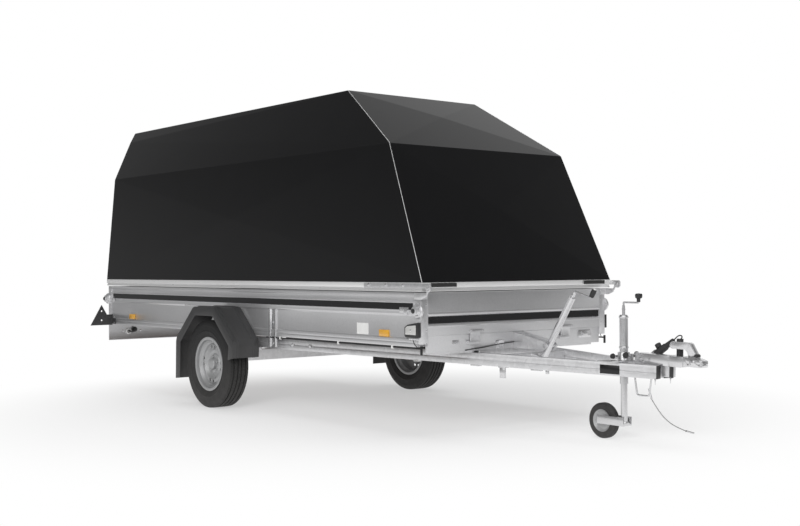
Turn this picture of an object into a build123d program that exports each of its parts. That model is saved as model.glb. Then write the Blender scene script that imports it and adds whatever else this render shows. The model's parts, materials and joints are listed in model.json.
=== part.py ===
from build123d import *
import math
import os

os.makedirs("parts", exist_ok=True)

# A single-axle box trailer with a hinged hard lid, a V drawbar, a jockey wheel and a
# screw jack that tips the box. Millimetres. While it is drawn, X is measured from the
# axle line towards the coupling, Y to the left-hand side, Z up from a level a little
# above the ground; each piece is moved to stand on the ground as it is written.

# Wheels and axle
axle_z = 273.5
tyre_radius = 289
tyre_width = 157
tyre_wall_gap = 32.5
rim_radius = 166
rim_flange_radius = 178
rim_hole_radius = 11
rim_hole_ring = 114
rim_hole_pairs = 4
rim_pair_spread = 21
stub_radius = 15
running_clearance = 0.06
axle_tube_x = 150
axle_tube_z = 330
axle_tube_size = 70
arm_thickness = 22
arm_tyre_gap = 8

# Chassis rails and V drawbar
rail_height = 68
rail_width = 45
rail_wall = 4
rail_bottom_z = 387
rail_inset = 40
rail_rear_x = -572
rail_bend_x = 480
drawbar_front_x = 3003
drawbar_front_half = 60
drawbar_front_bottom_z = 330
lug_gap = 0.3

# Box
box_rear_x = -1885
box_length = 3860
box_half_width = 740
wall_thickness = 25
wall_bottom_z = 470
wall_top_z = 767
floor_bottom_z = 487
floor_thickness = 12
post_size = 48
sheet_recess = 6
sill_height = 44
stripe_bottom_z = 672
stripe_height = 37
stripe_gap = 0.5
rib_height = 34
bearer_width = 60
bearer_count = 7
stripe_thickness = 3
lamp_panel_bottom_z = 338
lamp_panel_thickness = 5
lamp_depth = 48
lamp_side_inset = 74
lamp_length = 240
front_skirt_bottom_z = 437

# Tailgate and its hinge pins in the rear posts
gate_hinge_z = 501
gate_pin_radius = 5
gate_pin_length = 18
gate_side_gap = 5

# Lid, with its places measured from the box's corners and its own front edge
lid_gap = 5
lid_frame_height = 50
lid_frame_width = 40
lid_side_reach = 19
lid_rear_inset = 9
lid_front_reach = 30
lid_knee_z = 1611
lid_knee_inset = 64
lid_knee_rear_inset = 14
lid_knee_setback = 353
lid_top_z = 1991
lid_top_inset = 233
lid_top_rear_inset = 34
lid_apex_setback = 969
lid_fold_share = 0.79
lid_skin = 5
side_crown = 7
front_crown = 12
hood_crown = 10
roof_crown = 8

# Lid hinge, at both front corners
lid_hinge_reach = 87
lid_hinge_rise = 23
hinge_arm_length = 560
hinge_arm_height = 26
hinge_arm_thickness = 8
hinge_pin_radius = 7
hinge_ear_thickness = 8
hinge_ear_height = 37

# Box tipping pivot on the rails, and the screw jack that tips it
tip_x = -550
tip_z = 421
tip_pin_radius = 9
tip_ear_thickness = 8
tip_ear_gap = 1
jack_foot_reach = 185
jack_foot_z = 374
jack_lean = 32.4
jack_trunnion_reach = 100
jack_tube_radius = 19
jack_tube_length = 404
jack_tube_start = 21
jack_rod_radius = 14
jack_crank_length = 132
jack_plate_half = 38
jack_plate_thickness = 6
foot_plate_half = 25
foot_plate_thickness = 6

# Jockey wheel
jockey_x = 2750
jockey_tube_radius = 22
jockey_tube_bottom_z = 285
jockey_tube_top_z = 648
jockey_leg_radius = 17.5
jockey_wheel_radius = 95
jockey_wheel_width = 50
jockey_rim_radius = 60
jockey_trail = 138
fork_arm_height = 46
fork_arm_rise = 8
fork_leg_rise = 7
fork_arm_thickness = 6
fork_side_gap = 5
jockey_axle_radius = 8

# Coupling head
coupling_rear_x = 2848
coupling_ball_x = 3206
coupling_tip_x = 3268
coupling_width = 60
coupling_height = 54
coupling_wall = 4
coupling_head_x = 3060
coupling_bolts = (3179, 3198)
ball_radius = 25

# Mudguards
guard_thickness = 5
guard_wall_gap = 14
guard_tyre_gap = 20.5
guard_rib_width = 22
guard_rib_height = 4
guard_plate_thickness = 8
guard_lip = 58
guard_bend_radius = 70
guard_top_z = 650

# Sizes worked out from the ones above
ground_z = axle_z - tyre_radius
box_front_x = box_rear_x + box_length
lid_half_width = box_half_width + lid_side_reach
lid_knee_half = lid_half_width - lid_knee_inset
lid_top_half = lid_half_width - lid_top_inset
lid_rear_x = box_rear_x + lid_rear_inset
lid_knee_rear_x = lid_rear_x + lid_knee_rear_inset
lid_top_rear_x = lid_rear_x + lid_top_rear_inset
lid_front_x = box_front_x + lid_front_reach
lid_knee_front_x = lid_front_x - lid_knee_setback
lid_apex_x = lid_front_x - lid_apex_setback
lid_hinge_x = box_front_x + lid_hinge_reach
lid_hinge_z = wall_top_z + lid_hinge_rise
lamp_outer_half = box_half_width - lamp_side_inset
lamp_inner_half = lamp_outer_half - lamp_length
jack_foot_x = box_front_x + jack_foot_reach
jockey_axle_z = ground_z + jockey_wheel_radius
jockey_leg_bottom_z = jockey_axle_z + fork_leg_rise
wall_outer = box_half_width
rail_outer_half = box_half_width - rail_inset
track = 2 * (box_half_width + tyre_wall_gap) + tyre_width
guard_inner_half = box_half_width + guard_wall_gap
guard_outer_half = track / 2 + tyre_width / 2 + guard_tyre_gap
stripe_top_z = stripe_bottom_z + stripe_height
wall_inner = box_half_width - wall_thickness
rail_top_z = rail_bottom_z + rail_height
rail_mid = rail_outer_half - rail_width / 2
drawbar_front_mid = drawbar_front_half - rail_width / 2
drawbar_run = drawbar_front_x - rail_bend_x
drawbar_slope = (rail_bottom_z - drawbar_front_bottom_z) / drawbar_run
drawbar_taper = (rail_mid - drawbar_front_mid) / drawbar_run
lid_frame_bottom_z = wall_top_z + lid_gap
lid_bottom_z = lid_frame_bottom_z + lid_frame_height
origin_x = (coupling_tip_x + box_rear_x - lamp_depth) / 2


def beam_top(x):
    """Height of the drawbar beams' upper face at a place along the trailer."""
    return rail_top_z - drawbar_slope * (x - rail_bend_x)


def beam_mid(x):
    """Distance of a drawbar beam's centre line from the trailer's middle."""
    return rail_mid - drawbar_taper * (x - rail_bend_x)


def beam_half():
    """Half a beam's width, measured straight across the trailer where the beam slants."""
    return rail_width / 2 * math.hypot(1, drawbar_taper)


def save(shape, name):
    """Move a piece so that the origin is on the ground under the trailer's middle, and write it."""
    export_step(Pos(-origin_x, 0, -ground_z) * shape, "parts/" + name + ".step")


def block(x0, x1, y0, y1, z0, z1):
    """A box between two corners."""
    middle = ((x0 + x1) / 2, (y0 + y1) / 2, (z0 + z1) / 2)
    return Pos(*middle) * Box(abs(x1 - x0), abs(y1 - y0), abs(z1 - z0))


def rod_between(start, end, radius):
    """A round bar from one point to another."""
    start = Vector(*start)
    end = Vector(*end)
    along = Plane(origin=start, z_dir=end - start)
    return along * Cylinder(radius, (end - start).length, align=(Align.CENTER, Align.CENTER, Align.MIN))


def across(x, z, radius, y0, y1):
    """A round bar that runs across the trailer."""
    return rod_between((x, y0, z), (x, y1, z), radius)


def side_profile(points, y0, y1):
    """A closed outline of (x, z) points, given a width across the trailer."""
    face = make_face(Polyline(*[(x, y0, z) for x, z in points], close=True))
    return extrude(face, abs(y1 - y0), dir=(0, math.copysign(1, y1 - y0), 0))


def lengthwise_profile(points, x0, x1):
    """A closed outline of (y, z) points, given a length along the trailer."""
    face = make_face(Polyline(*[(x0, y, z) for y, z in points], close=True))
    return extrude(face, abs(x1 - x0), dir=(math.copysign(1, x1 - x0), 0, 0))


def turned(points, x, z, y, side):
    """A wheel-like body turned about a line across the trailer.

    The points are (radius, distance outwards from y)."""
    face = make_face(Polyline(*[(r, 0, d) for r, d in points], close=True))
    body = revolve(face, Axis.Z)
    placed = Plane(origin=(x, side * y, z), z_dir=(0, side, 0)) * body
    return placed


# Wheels
def tyre(side):
    half = tyre_width / 2
    bead = rim_radius - 2
    section = [(bead, half * 0.69), (tyre_radius - 62, half), (tyre_radius - 13, half * 0.91),
               (tyre_radius, half * 0.76)]
    outline = section + [(r, -d) for r, d in reversed(section)]
    return turned(outline, 0, axle_z, track / 2, side)


def rim(side):
    """A pressed steel wheel: a barrel with two flanges and a dished disc with pairs of holes."""
    half = tyre_width / 2
    seat = rim_radius - 2.3
    well = rim_radius - 16
    sheet = 3.5
    flange = [(well, half * 0.3), (seat, half * 0.5), (seat, half * 0.765), (rim_flange_radius, half * 0.775),
              (rim_flange_radius, half * 0.83), (seat - sheet, half * 0.82), (seat - sheet, half * 0.56),
              (well - sheet, half * 0.36)]
    inner = [(r, -d) for r, d in reversed(flange)]
    bore = stub_radius + running_clearance
    crest = rim_hole_ring - 2
    disc_front = [(crest + 26, half * 0.30), (crest + 10, half * 0.46), (crest - 8, half * 0.46),
                  (crest - 24, half * 0.2), (68, half * 0.16), (60, half * 0.26), (36, half * 0.26),
                  (34, half * 0.52), (28, half * 0.57)]
    hub_back = [(bore, -half * 0.7), (34, -half * 0.7), (34, half * 0.14), (64, half * 0.14),
                (72, half * 0.06),
                (crest - 20, half * 0.1), (crest - 4, half * 0.38), (crest + 7, half * 0.38),
                (crest + 24, half * 0.2)]
    outline = flange + disc_front + [(0, half * 0.57), (0, half * 0.42), (bore, half * 0.42)] + hub_back
    outline += [(well - sheet, half * 0.24)] + inner
    wheel = turned(outline, 0, axle_z, track / 2, side)
    holes = []
    for pair in range(rim_hole_pairs):
        for turn in (-rim_pair_spread / 2, rim_pair_spread / 2):
            angle = math.radians(-6 + 360 / rim_hole_pairs * pair + turn)
            x = rim_hole_ring * math.cos(angle)
            z = axle_z + rim_hole_ring * math.sin(angle)
            holes.append(across(x, z, rim_hole_radius, side * (track / 2 - half * 0.1),
                                side * (track / 2 + half * 0.6)))
    return wheel - holes


def turned_up(points, x, y, z):
    """A round body turned about an upright line. The points are (radius, height)."""
    face = make_face(Polyline(*[(r, 0, h) for r, h in points], close=True))
    return Pos(x, y, z) * revolve(face, Axis.Z)


for name, side in (("right", -1), ("left", 1)):
    save(tyre(side), "tyre_" + name)
    save(rim(side), "rim_" + name)


# Axle: a square torsion tube under the rails, with a trailing arm and a stub axle at each end
arm_outer = track / 2 - tyre_width / 2 - arm_tyre_gap
arm_inner = arm_outer - arm_thickness


def hull_plate(first, first_half, second, second_half, y0, y1):
    """A tapered plate between two centres, each given half its width there."""
    (xa, za), (xb, zb) = first, second
    length = math.hypot(xb - xa, zb - za)
    nx, nz = -(zb - za) / length, (xb - xa) / length
    outline = [(xa + nx * first_half, za + nz * first_half), (xb + nx * second_half, zb + nz * second_half),
               (xb - nx * second_half, zb - nz * second_half), (xa - nx * first_half, za - nz * first_half)]
    return side_profile(outline, y0, y1)


def axle_arm(side):
    pivot = across(axle_tube_x, axle_tube_z, 34, side * arm_inner, side * arm_outer)
    hub_end = across(0, axle_z, 30, side * arm_inner, side * arm_outer)
    web = hull_plate((axle_tube_x, axle_tube_z), 26, (0, axle_z), 24, side * arm_inner, side * arm_outer)
    stub = across(0, axle_z, stub_radius, side * arm_outer, side * (track / 2 + tyre_width * 0.2))
    return pivot + hub_end + web + stub


axle_half = axle_tube_size / 2
axle_tube = block(axle_tube_x - axle_half, axle_tube_x + axle_half, -arm_inner, arm_inner,
                  axle_tube_z - axle_half, axle_tube_z + axle_half)
axle_bore = block(axle_tube_x - axle_half + 6, axle_tube_x + axle_half - 6, -arm_inner, arm_inner,
                  axle_tube_z - axle_half + 6, axle_tube_z + axle_half - 6)
axle_plates = []
for side in (-1, 1):
    y_out = side * rail_outer_half
    y_in = side * (rail_outer_half - rail_width)
    seat = block(axle_tube_x - 95, axle_tube_x + 95, y_in, y_out, axle_tube_z + axle_half, rail_bottom_z)
    axle_plates.append(seat)
save(axle_tube - axle_bore + axle_plates + axle_arm(-1) + axle_arm(1), "axle_beam")


# Chassis rails that bend into the V drawbar
def drawbar_beam(side):
    """A box section rail with a groove along both sides, bent at the start of the V."""
    half = rail_width / 2
    high = rail_height / 2
    groove = 5
    section = [(-half, -high), (half, -high), (half, -groove), (half - 3, -groove + 3),
               (half - 3, groove - 3),
               (half, groove), (half, high), (-half, high), (-half, groove), (-half + 3, groove - 3),
               (-half + 3, -groove + 3), (-half, -groove)]
    mid_z = rail_bottom_z + high
    path = Polyline((rail_rear_x, side * rail_mid, mid_z), (rail_bend_x, side * rail_mid, mid_z),
                    (drawbar_front_x, side * drawbar_front_mid, drawbar_front_bottom_z + high))
    start = Plane(origin=path @ 0, x_dir=(0, 1, 0), z_dir=(1, 0, 0))
    outer = make_face(Polyline(*[(a, b, 0) for a, b in section], close=True))
    inner = Rectangle(rail_width - 2 * rail_wall - 6, rail_height - 2 * rail_wall)
    beam = sweep(start * (outer - inner), path=path, transition=Transition.RIGHT)
    hole = across(tip_x, tip_z, tip_pin_radius + running_clearance, side * (rail_mid - rail_width),
                  side * (rail_mid + rail_width))
    return beam - hole


right_beam = drawbar_beam(-1)
save(right_beam, "drawbar_beam_right")
save(drawbar_beam(1), "drawbar_beam_left")

# Cross members between the rails
rail_inner_half = rail_outer_half - rail_width
cross_height = 50
rear_cross = block(rail_rear_x + 40, rail_rear_x + 90, -rail_inner_half, rail_inner_half,
                   rail_bottom_z + 4, rail_bottom_z + 4 + cross_height)
middle_cross = block(rail_bend_x - 90, rail_bend_x - 40, -rail_inner_half, rail_inner_half,
                     rail_bottom_z + 4, rail_bottom_z + 4 + cross_height)
foot_cross_x = jack_foot_x - 100
foot_cross_front = foot_cross_x + 40


def front_cross():
    """A tube between the drawbar beams, cut to their slant at both ends."""
    bottom = beam_top(foot_cross_x) - rail_height + 6
    top = beam_top(foot_cross_front) - 6
    rear_half = beam_mid(foot_cross_x) - beam_half() - lug_gap
    front_half = beam_mid(foot_cross_front) - beam_half() - lug_gap
    plan = make_face(Polyline((foot_cross_x, -rear_half, bottom), (foot_cross_x, rear_half, bottom),
                              (foot_cross_front, front_half, bottom), (foot_cross_front, -front_half, bottom),
                              close=True))
    return extrude(plan, top - bottom, dir=(0, 0, 1))


def foot_plate(side):
    """One of the two plates on the front cross member that hold the jack's foot."""
    y0 = side * foot_plate_half
    y1 = side * (foot_plate_half + foot_plate_thickness)
    bottom = beam_top(foot_cross_x) - rail_height + 10
    top = beam_top(foot_cross_front) - 8
    plate = side_profile([(foot_cross_front, bottom), (jack_foot_x + 14, jack_foot_z - 22),
                          (jack_foot_x + 26, jack_foot_z), (jack_foot_x + 14, jack_foot_z + 20),
                          (foot_cross_front, top)], y0, y1)
    bolt_head = across(jack_foot_x, jack_foot_z, 11, y1, y1 + side * 6)
    return plate + bolt_head


save(Compound([rear_cross, middle_cross, front_cross() + foot_plate(-1) + foot_plate(1)]), "cross_members")


# Coupling: a folded channel on top of the drawbar's nose, a socket and a lock handle
coupling_floor_z = beam_top(drawbar_front_x) + lug_gap
coupling_top_z = coupling_floor_z + coupling_height
ball_z = coupling_top_z - 24
nose_tilt = math.atan(drawbar_slope)


def tilted(shape):
    """Lean a piece that is drawn level so that it follows the drawbar's slope."""
    pivot = Axis((drawbar_front_x, 0, coupling_floor_z), (0, 1, 0))
    return shape.rotate(pivot, math.degrees(nose_tilt))


def tilted_point(x, y, z):
    """Where a point that is given level lies once it follows the drawbar's slope."""
    dx = x - drawbar_front_x
    dz = z - coupling_floor_z
    return (drawbar_front_x + dx * math.cos(nose_tilt) + dz * math.sin(nose_tilt), y,
            coupling_floor_z - dx * math.sin(nose_tilt) + dz * math.cos(nose_tilt))


def coupling_body():
    """A folded channel that widens into the head, with a round nose and a half round socket."""
    half = coupling_width / 2
    shank = side_profile([(coupling_rear_x, coupling_floor_z), (coupling_ball_x - 70, coupling_floor_z),
                          (coupling_ball_x - 30, coupling_floor_z + 8),
                          (coupling_tip_x - 12, coupling_floor_z + 8),
                          (coupling_tip_x, coupling_floor_z + 20), (coupling_tip_x - 6, coupling_top_z - 14),
                          (coupling_ball_x, coupling_top_z), (coupling_rear_x, coupling_top_z)], -half, half)
    plan = block(coupling_rear_x, coupling_tip_x, -half, half, coupling_floor_z - 1, coupling_top_z + 1)
    nose_edges = plan.edges().filter_by(Axis.Z).group_by(Axis.X)[-1]
    inside = block(coupling_rear_x - 1, coupling_ball_x - 60, -half + coupling_wall, half - coupling_wall,
                   coupling_floor_z - 1, coupling_top_z - coupling_wall)
    dome = Pos(coupling_ball_x, 0, ball_z) * Sphere(ball_radius + 9)
    socket = Pos(coupling_ball_x, 0, ball_z) * Sphere(ball_radius + 0.4)
    mouth = rod_between((coupling_ball_x, 0, coupling_floor_z - 20), (coupling_ball_x, 0, ball_z),
                        ball_radius + 0.4)
    seams = [block(x, x + 3, side * (half - 1), side * (half + 1), coupling_floor_z, coupling_top_z)
             for x in (coupling_head_x, coupling_head_x + 90) for side in (-1, 1)]
    bolt_holes = [across(x, coupling_floor_z + 24, 4.5, side * (half - 3), side * (half + 6))
                  for x in coupling_bolts for side in (-1, 1)]
    lip_slot = block(coupling_tip_x - 24, coupling_tip_x + 1, -half - 1, half + 1, coupling_floor_z + 22,
                     coupling_floor_z + 25)
    head = (shank & fillet(nose_edges, half * 0.7)) - inside + dome
    return head - socket - mouth - seams - bolt_holes - lip_slot


coupling = tilted(coupling_body())
save(coupling, "coupling_body")
handle_rear_x = coupling_ball_x - 151
handle_low_z = coupling_top_z + 36
handle_high_z = coupling_top_z + 72
handle = side_profile([(coupling_ball_x - 34, coupling_top_z), (coupling_ball_x + 16, coupling_top_z),
                       (coupling_ball_x + 16, coupling_top_z + 10), (coupling_ball_x - 20, handle_high_z - 6),
                       (coupling_ball_x - 34, handle_high_z), (handle_rear_x + 15, handle_high_z),
                       (handle_rear_x + 5, handle_high_z - 6), (handle_rear_x, handle_high_z - 18),
                       (handle_rear_x + 4, handle_low_z + 5), (handle_rear_x + 13, handle_low_z),
                       (coupling_ball_x - 56, handle_low_z), (coupling_ball_x - 43, handle_low_z - 12)],
                      -13, 13)
handle = tilted(handle)
save(handle - coupling, "coupling_handle")

# Nose block under the coupling, ahead of the beams, and plastic caps in the beams' ends
nose_rear_x = drawbar_front_x + 16
nose_front_x = nose_rear_x + 46
nose_half = coupling_width / 2 - coupling_wall
nose_bottom_z = drawbar_front_bottom_z + 12
nose = block(nose_rear_x, nose_front_x, -nose_half, nose_half, nose_bottom_z, coupling_top_z - coupling_wall)
save(tilted(nose), "nose_block")
nose_cap = tilted(block(nose_front_x, nose_front_x + 10, -nose_half, -3, nose_bottom_z - 3,
                        coupling_floor_z - 1))
end_cap_thickness = 5
end_caps = []
for side in (-1, 1):
    run = Vector(drawbar_run, side * (drawbar_front_mid - rail_mid), drawbar_front_bottom_z - rail_bottom_z)
    end = Plane(origin=(drawbar_front_x, side * drawbar_front_mid, drawbar_front_bottom_z + rail_height / 2),
                x_dir=Vector(-run.Y, run.X, 0), z_dir=run)
    cap = Box(rail_width, rail_height, end_cap_thickness, align=(Align.CENTER, Align.CENTER, Align.MIN))
    end_caps.append(end * cap)
save(Compound([nose_cap, *end_caps]), "nose_caps")

# Jockey wheel: a clamped outer tube, a sliding leg, a swivelling fork and a wheel
clamp_rear_x = jockey_x - 62
clamp_front_x = jockey_x + 62
clamp_bottom_z = beam_top(clamp_rear_x) + lug_gap
clamp_half = beam_mid(clamp_rear_x) + beam_half()
clamp_plate = block(clamp_rear_x, clamp_front_x, -clamp_half, clamp_half, clamp_bottom_z, clamp_bottom_z + 6)
clamp_collar = rod_between((jockey_x, 0, clamp_bottom_z), (jockey_x, 0, clamp_bottom_z + 46),
                           jockey_tube_radius + 10)
clamp_bore = rod_between((jockey_x, 0, clamp_bottom_z - 1), (jockey_x, 0, clamp_bottom_z + 60),
                         jockey_tube_radius)
clamp_lug = block(jockey_x, jockey_x + 54, -14, 14, clamp_bottom_z, clamp_bottom_z + 40)
clamp_screw = across(jockey_x + 43, clamp_bottom_z + 24, 6, -52, 52)
save(clamp_plate + clamp_collar + clamp_lug + clamp_screw - clamp_bore, "jockey_clamp")

tube_bore = rod_between((jockey_x, 0, jockey_tube_bottom_z - 1), (jockey_x, 0, jockey_tube_top_z - 12),
                        jockey_leg_radius + running_clearance)
jockey_tube = rod_between((jockey_x, 0, jockey_tube_bottom_z), (jockey_x, 0, jockey_tube_top_z),
                          jockey_tube_radius)
jockey_tube = fillet(jockey_tube.edges().group_by(Axis.Z)[-1], 6)
jockey_neck = rod_between((jockey_x, 0, jockey_tube_top_z), (jockey_x, 0, jockey_tube_top_z + 35), 8)
save(jockey_tube - tube_bore + jockey_neck, "jockey_tube")
crank_z = jockey_tube_top_z + 65
crank_reach = 100
crank_hub = rod_between((jockey_x, 0, jockey_tube_top_z + 35), (jockey_x, 0, crank_z), 5)
crank_arm = rod_between((jockey_x - 5, 0, crank_z), (jockey_x + crank_reach + 5, 0, crank_z), 5)
crank_knob = turned_up([(0, -5), (10, -5), (11, 20), (18, 23), (20, 30), (20, 44), (15, 50), (0, 50)],
                       jockey_x + crank_reach, 0, crank_z)
save(crank_hub + crank_arm + crank_knob, "jockey_crank")

leg_top_z = jockey_tube_top_z - 150
save(rod_between((jockey_x, 0, jockey_leg_bottom_z), (jockey_x, 0, leg_top_z), jockey_leg_radius),
     "jockey_leg")

fork_axle_x = jockey_x - jockey_trail
fork_inner = jockey_wheel_width / 2 + fork_side_gap
fork_head = rod_between((jockey_x, 0, jockey_leg_bottom_z - 22), (jockey_x, 0, jockey_leg_bottom_z - 0.3), 22)
fork_arms = [block(fork_axle_x - 20, jockey_x + 20, side * fork_inner,
                   side * (fork_inner + fork_arm_thickness),
                   jockey_axle_z + fork_arm_rise - fork_arm_height / 2,
                   jockey_axle_z + fork_arm_rise + fork_arm_height / 2)
             for side in (-1, 1)]
fork_bridge = block(jockey_x - 20, jockey_x + 20, -fork_inner, fork_inner,
                    jockey_leg_bottom_z - 22, jockey_leg_bottom_z - 8)
fork_pin = across(fork_axle_x, jockey_axle_z, jockey_axle_radius, -fork_inner, fork_inner)
save(fork_head + fork_arms + fork_bridge + fork_pin, "jockey_fork")


def jockey_wheel():
    """The jockey wheel's pressed centre, with a hub and a shallow dish."""
    half = jockey_wheel_width / 2
    bore = jockey_axle_radius + running_clearance
    outline = [(bore, -half), (20, -half), (20, -half * 0.4), (48, -half * 0.4),
               (jockey_rim_radius, -half * 0.85),
               (jockey_rim_radius, half * 0.85), (48, half * 0.4), (20, half * 0.4), (20, half), (bore, half)]
    return turned(outline, fork_axle_x, jockey_axle_z, 0, 1)


def jockey_tyre():
    """The solid rubber tyre round it."""
    half = jockey_wheel_width / 2
    seat = jockey_rim_radius + 0.05
    shoulder = jockey_wheel_radius - 12
    outline = [(seat, -half * 0.9), (shoulder, -half), (jockey_wheel_radius, -half * 0.5),
               (jockey_wheel_radius, half * 0.5), (shoulder, half), (seat, half * 0.9)]
    return turned(outline, fork_axle_x, jockey_axle_z, 0, 1)


save(jockey_wheel(), "jockey_wheel")
save(jockey_tyre(), "jockey_tyre")


# Mudguards with a lip round the outer side, on brackets from the axle's ends
def guard_outline(inset):
    """The guard's shape from the side, (x, z), drawn smaller by the inset."""
    return [(-388 + inset, 155), (-380 + inset, 430 - inset * 0.4), (-139 + inset * 0.4, guard_top_z - inset),
            (134 - inset * 0.4, guard_top_z - inset), (371 - inset, 430 - inset * 0.4), (362 - inset, 331)]


def guard_solid(inset, y0, y1, low_z=None):
    """The guard's shape with rounded bends, its two ends carried down to a level if one is given."""
    outline = guard_outline(inset)
    bends = outline[1:5]
    if low_z is not None:
        outline = [(outline[0][0], low_z), *outline, (outline[-1][0], low_z)]
    solid = side_profile(outline, y0, y1)
    edges = [edge for edge in solid.edges().filter_by(Axis.Y)
             if any(math.hypot(edge.center().X - x, edge.center().Z - z) < 1 for x, z in bends)]
    return fillet(edges, guard_bend_radius - inset * 0.8)


def mudguard(side):
    y_in = side * guard_inner_half
    y_out = side * guard_outer_half
    whole = guard_solid(0, y_in, y_out)
    lip_plane = y_out - side * guard_thickness
    for from_edge in (30, guard_outer_half - guard_inner_half - 48):
        y_rib = y_out - side * from_edge
        rib = guard_solid(-guard_rib_height, y_rib, y_rib - side * guard_rib_width)
        whole += rib
    arch = guard_solid(guard_thickness, y_in - side, lip_plane, 100)
    opening = guard_solid(guard_lip, y_in - side, y_out + side, 100)
    return whole - arch - opening


save(mudguard(-1), "mudguard_right")
save(mudguard(1), "mudguard_left")


def guard_stay(side):
    """The bracket that carries a mudguard, from the rail up and out under its top."""
    y_rail = side * rail_outer_half
    y_plate = side * (guard_inner_half - guard_plate_thickness)
    upright = block(-30, 30, side * (rail_outer_half), y_plate, rail_bottom_z + 6, rail_bottom_z + 46)
    riser = block(-30, 30, y_plate, side * guard_inner_half, rail_bottom_z + 6,
                  guard_top_z - guard_thickness - 30)
    shelf = block(-30, 30, y_plate, side * (guard_outer_half - 60), guard_top_z - guard_thickness - 30,
                  guard_top_z - guard_thickness)
    return upright + riser + shelf


save(Compound([guard_stay(-1), guard_stay(1)]), "mudguard_stays")

# Box walls. Each outline gives (depth behind the outer face, height).
sill_top_z = wall_bottom_z + sill_height
rib_bottom_z = stripe_bottom_z - rib_height
top_rail_z = stripe_top_z + 36
side_outline = [(0, wall_bottom_z), (0, wall_bottom_z + 20), (2, wall_bottom_z + 22), (2, wall_bottom_z + 26),
                (0, wall_bottom_z + 28), (0, sill_top_z), (sheet_recess, sill_top_z + 4),
                (sheet_recess, rib_bottom_z), (2, rib_bottom_z + 6), (0, rib_bottom_z + 14),
                (2, rib_bottom_z + 24),
                (0, stripe_bottom_z - 4), (0, stripe_bottom_z), (sheet_recess, stripe_bottom_z),
                (sheet_recess, stripe_top_z), (0, stripe_top_z), (0, stripe_top_z + 8),
                (sheet_recess, stripe_top_z + 12), (sheet_recess, top_rail_z), (0, top_rail_z + 4),
                (0, wall_top_z),
                (wall_thickness, wall_top_z), (wall_thickness, wall_bottom_z)]
front_rib_z = 578
front_stripe_bottom_z = 597
front_stripe_top_z = 634
end_face = [(0, front_rib_z), (-3, front_rib_z + 3), (-3, front_rib_z + 10), (0, front_rib_z + 13),
            (sheet_recess, front_stripe_bottom_z), (sheet_recess, front_stripe_top_z),
            (0, front_stripe_top_z + 4),
            (-3, front_stripe_top_z + 11), (-3, front_stripe_top_z + 18), (0, front_stripe_top_z + 22)]
seam_z = 531
front_outline = [(6, front_skirt_bottom_z), (6, seam_z - 2), (0, seam_z + 1), *end_face, (0, wall_top_z),
                 (wall_thickness, wall_top_z), (wall_thickness, front_skirt_bottom_z)]
wall_rear_x = box_rear_x + post_size
wall_front_x = box_front_x - post_size


def side_wall(side):
    points = [(side * (wall_outer - depth), z) for depth, z in side_outline]
    return lengthwise_profile(points, wall_rear_x, wall_front_x)


save(side_wall(-1), "side_wall_right")
save(side_wall(1), "side_wall_left")
front_half = box_half_width - post_size
save(side_profile([(box_front_x - depth, z) for depth, z in front_outline], -front_half, front_half),
     "front_wall")

posts = []
for side in (-1, 1):
    y0 = side * front_half
    y1 = side * wall_outer
    posts.append(block(wall_front_x, box_front_x, y0, y1, front_skirt_bottom_z + 50, wall_top_z))
    rear_post = block(box_rear_x, wall_rear_x, y0, y1, wall_bottom_z, wall_top_z)
    pin_hole = across(box_rear_x + wall_thickness / 2, gate_hinge_z, gate_pin_radius + running_clearance,
                      y0 - side, y0 + side * (gate_pin_length + 2))
    posts.append(rear_post - pin_hole)
save(Compound(posts), "corner_posts")

stripe_rear_x = wall_rear_x + 30
stripe_front_x = wall_front_x - 30
stripes = []
for side in (-1, 1):
    y0 = side * (wall_outer - sheet_recess)
    y1 = y0 + side * stripe_thickness
    stripes.append(block(stripe_rear_x, stripe_front_x, y0, y1,
                         stripe_bottom_z + stripe_gap, stripe_top_z - stripe_gap))
stripe_x = box_front_x - sheet_recess
stripes.append(block(stripe_x, stripe_x + stripe_thickness, -front_half + 6, front_half - 6,
                     front_stripe_bottom_z + stripe_gap, front_stripe_top_z - stripe_gap))
save(Compound(stripes), "stripes")

# Floor board on folded bearers
floor_top_z = floor_bottom_z + floor_thickness
floor_front_x = box_front_x - wall_thickness
floor_rear_x = box_rear_x + wall_thickness + 6
floor = block(floor_rear_x, floor_front_x, -wall_inner, wall_inner, floor_bottom_z, floor_top_z)
corner_notch = [block(x0, x1, side * front_half, side * wall_outer, 0, wall_top_z)
                for side in (-1, 1) for x0, x1 in ((box_rear_x, wall_rear_x), (wall_front_x, box_front_x))]
save(floor - corner_notch, "floor_board")
bearers = []
bearer_step = (wall_front_x - wall_rear_x - bearer_width) / (bearer_count - 1)
for index in range(bearer_count):
    x0 = wall_rear_x + index * bearer_step
    bearers.append(block(x0, x0 + bearer_width, -wall_inner, wall_inner, wall_bottom_z, floor_bottom_z))
save(Compound(bearers), "floor_bearers")

# Ears under the box that turn on pins in the rails
tip_ears = []
for side in (-1, 1):
    y0 = side * (rail_outer_half + tip_ear_gap)
    y1 = y0 + side * tip_ear_thickness
    ear = side_profile([(tip_x - 22, tip_z - 18), (tip_x + 22, tip_z - 18), (tip_x + 40, wall_bottom_z),
                        (tip_x - 40, wall_bottom_z)], y0, y1)
    pin = across(tip_x, tip_z, tip_pin_radius, side * (rail_inner_half - 4), y0)
    seat = block(tip_x - 50, tip_x + 50, side * (rail_inner_half - 30), side * wall_inner, wall_bottom_z,
                 floor_bottom_z)
    tip_ears.append(ear + pin + (seat - bearers))
save(Compound(tip_ears), "tip_hinges")

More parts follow.
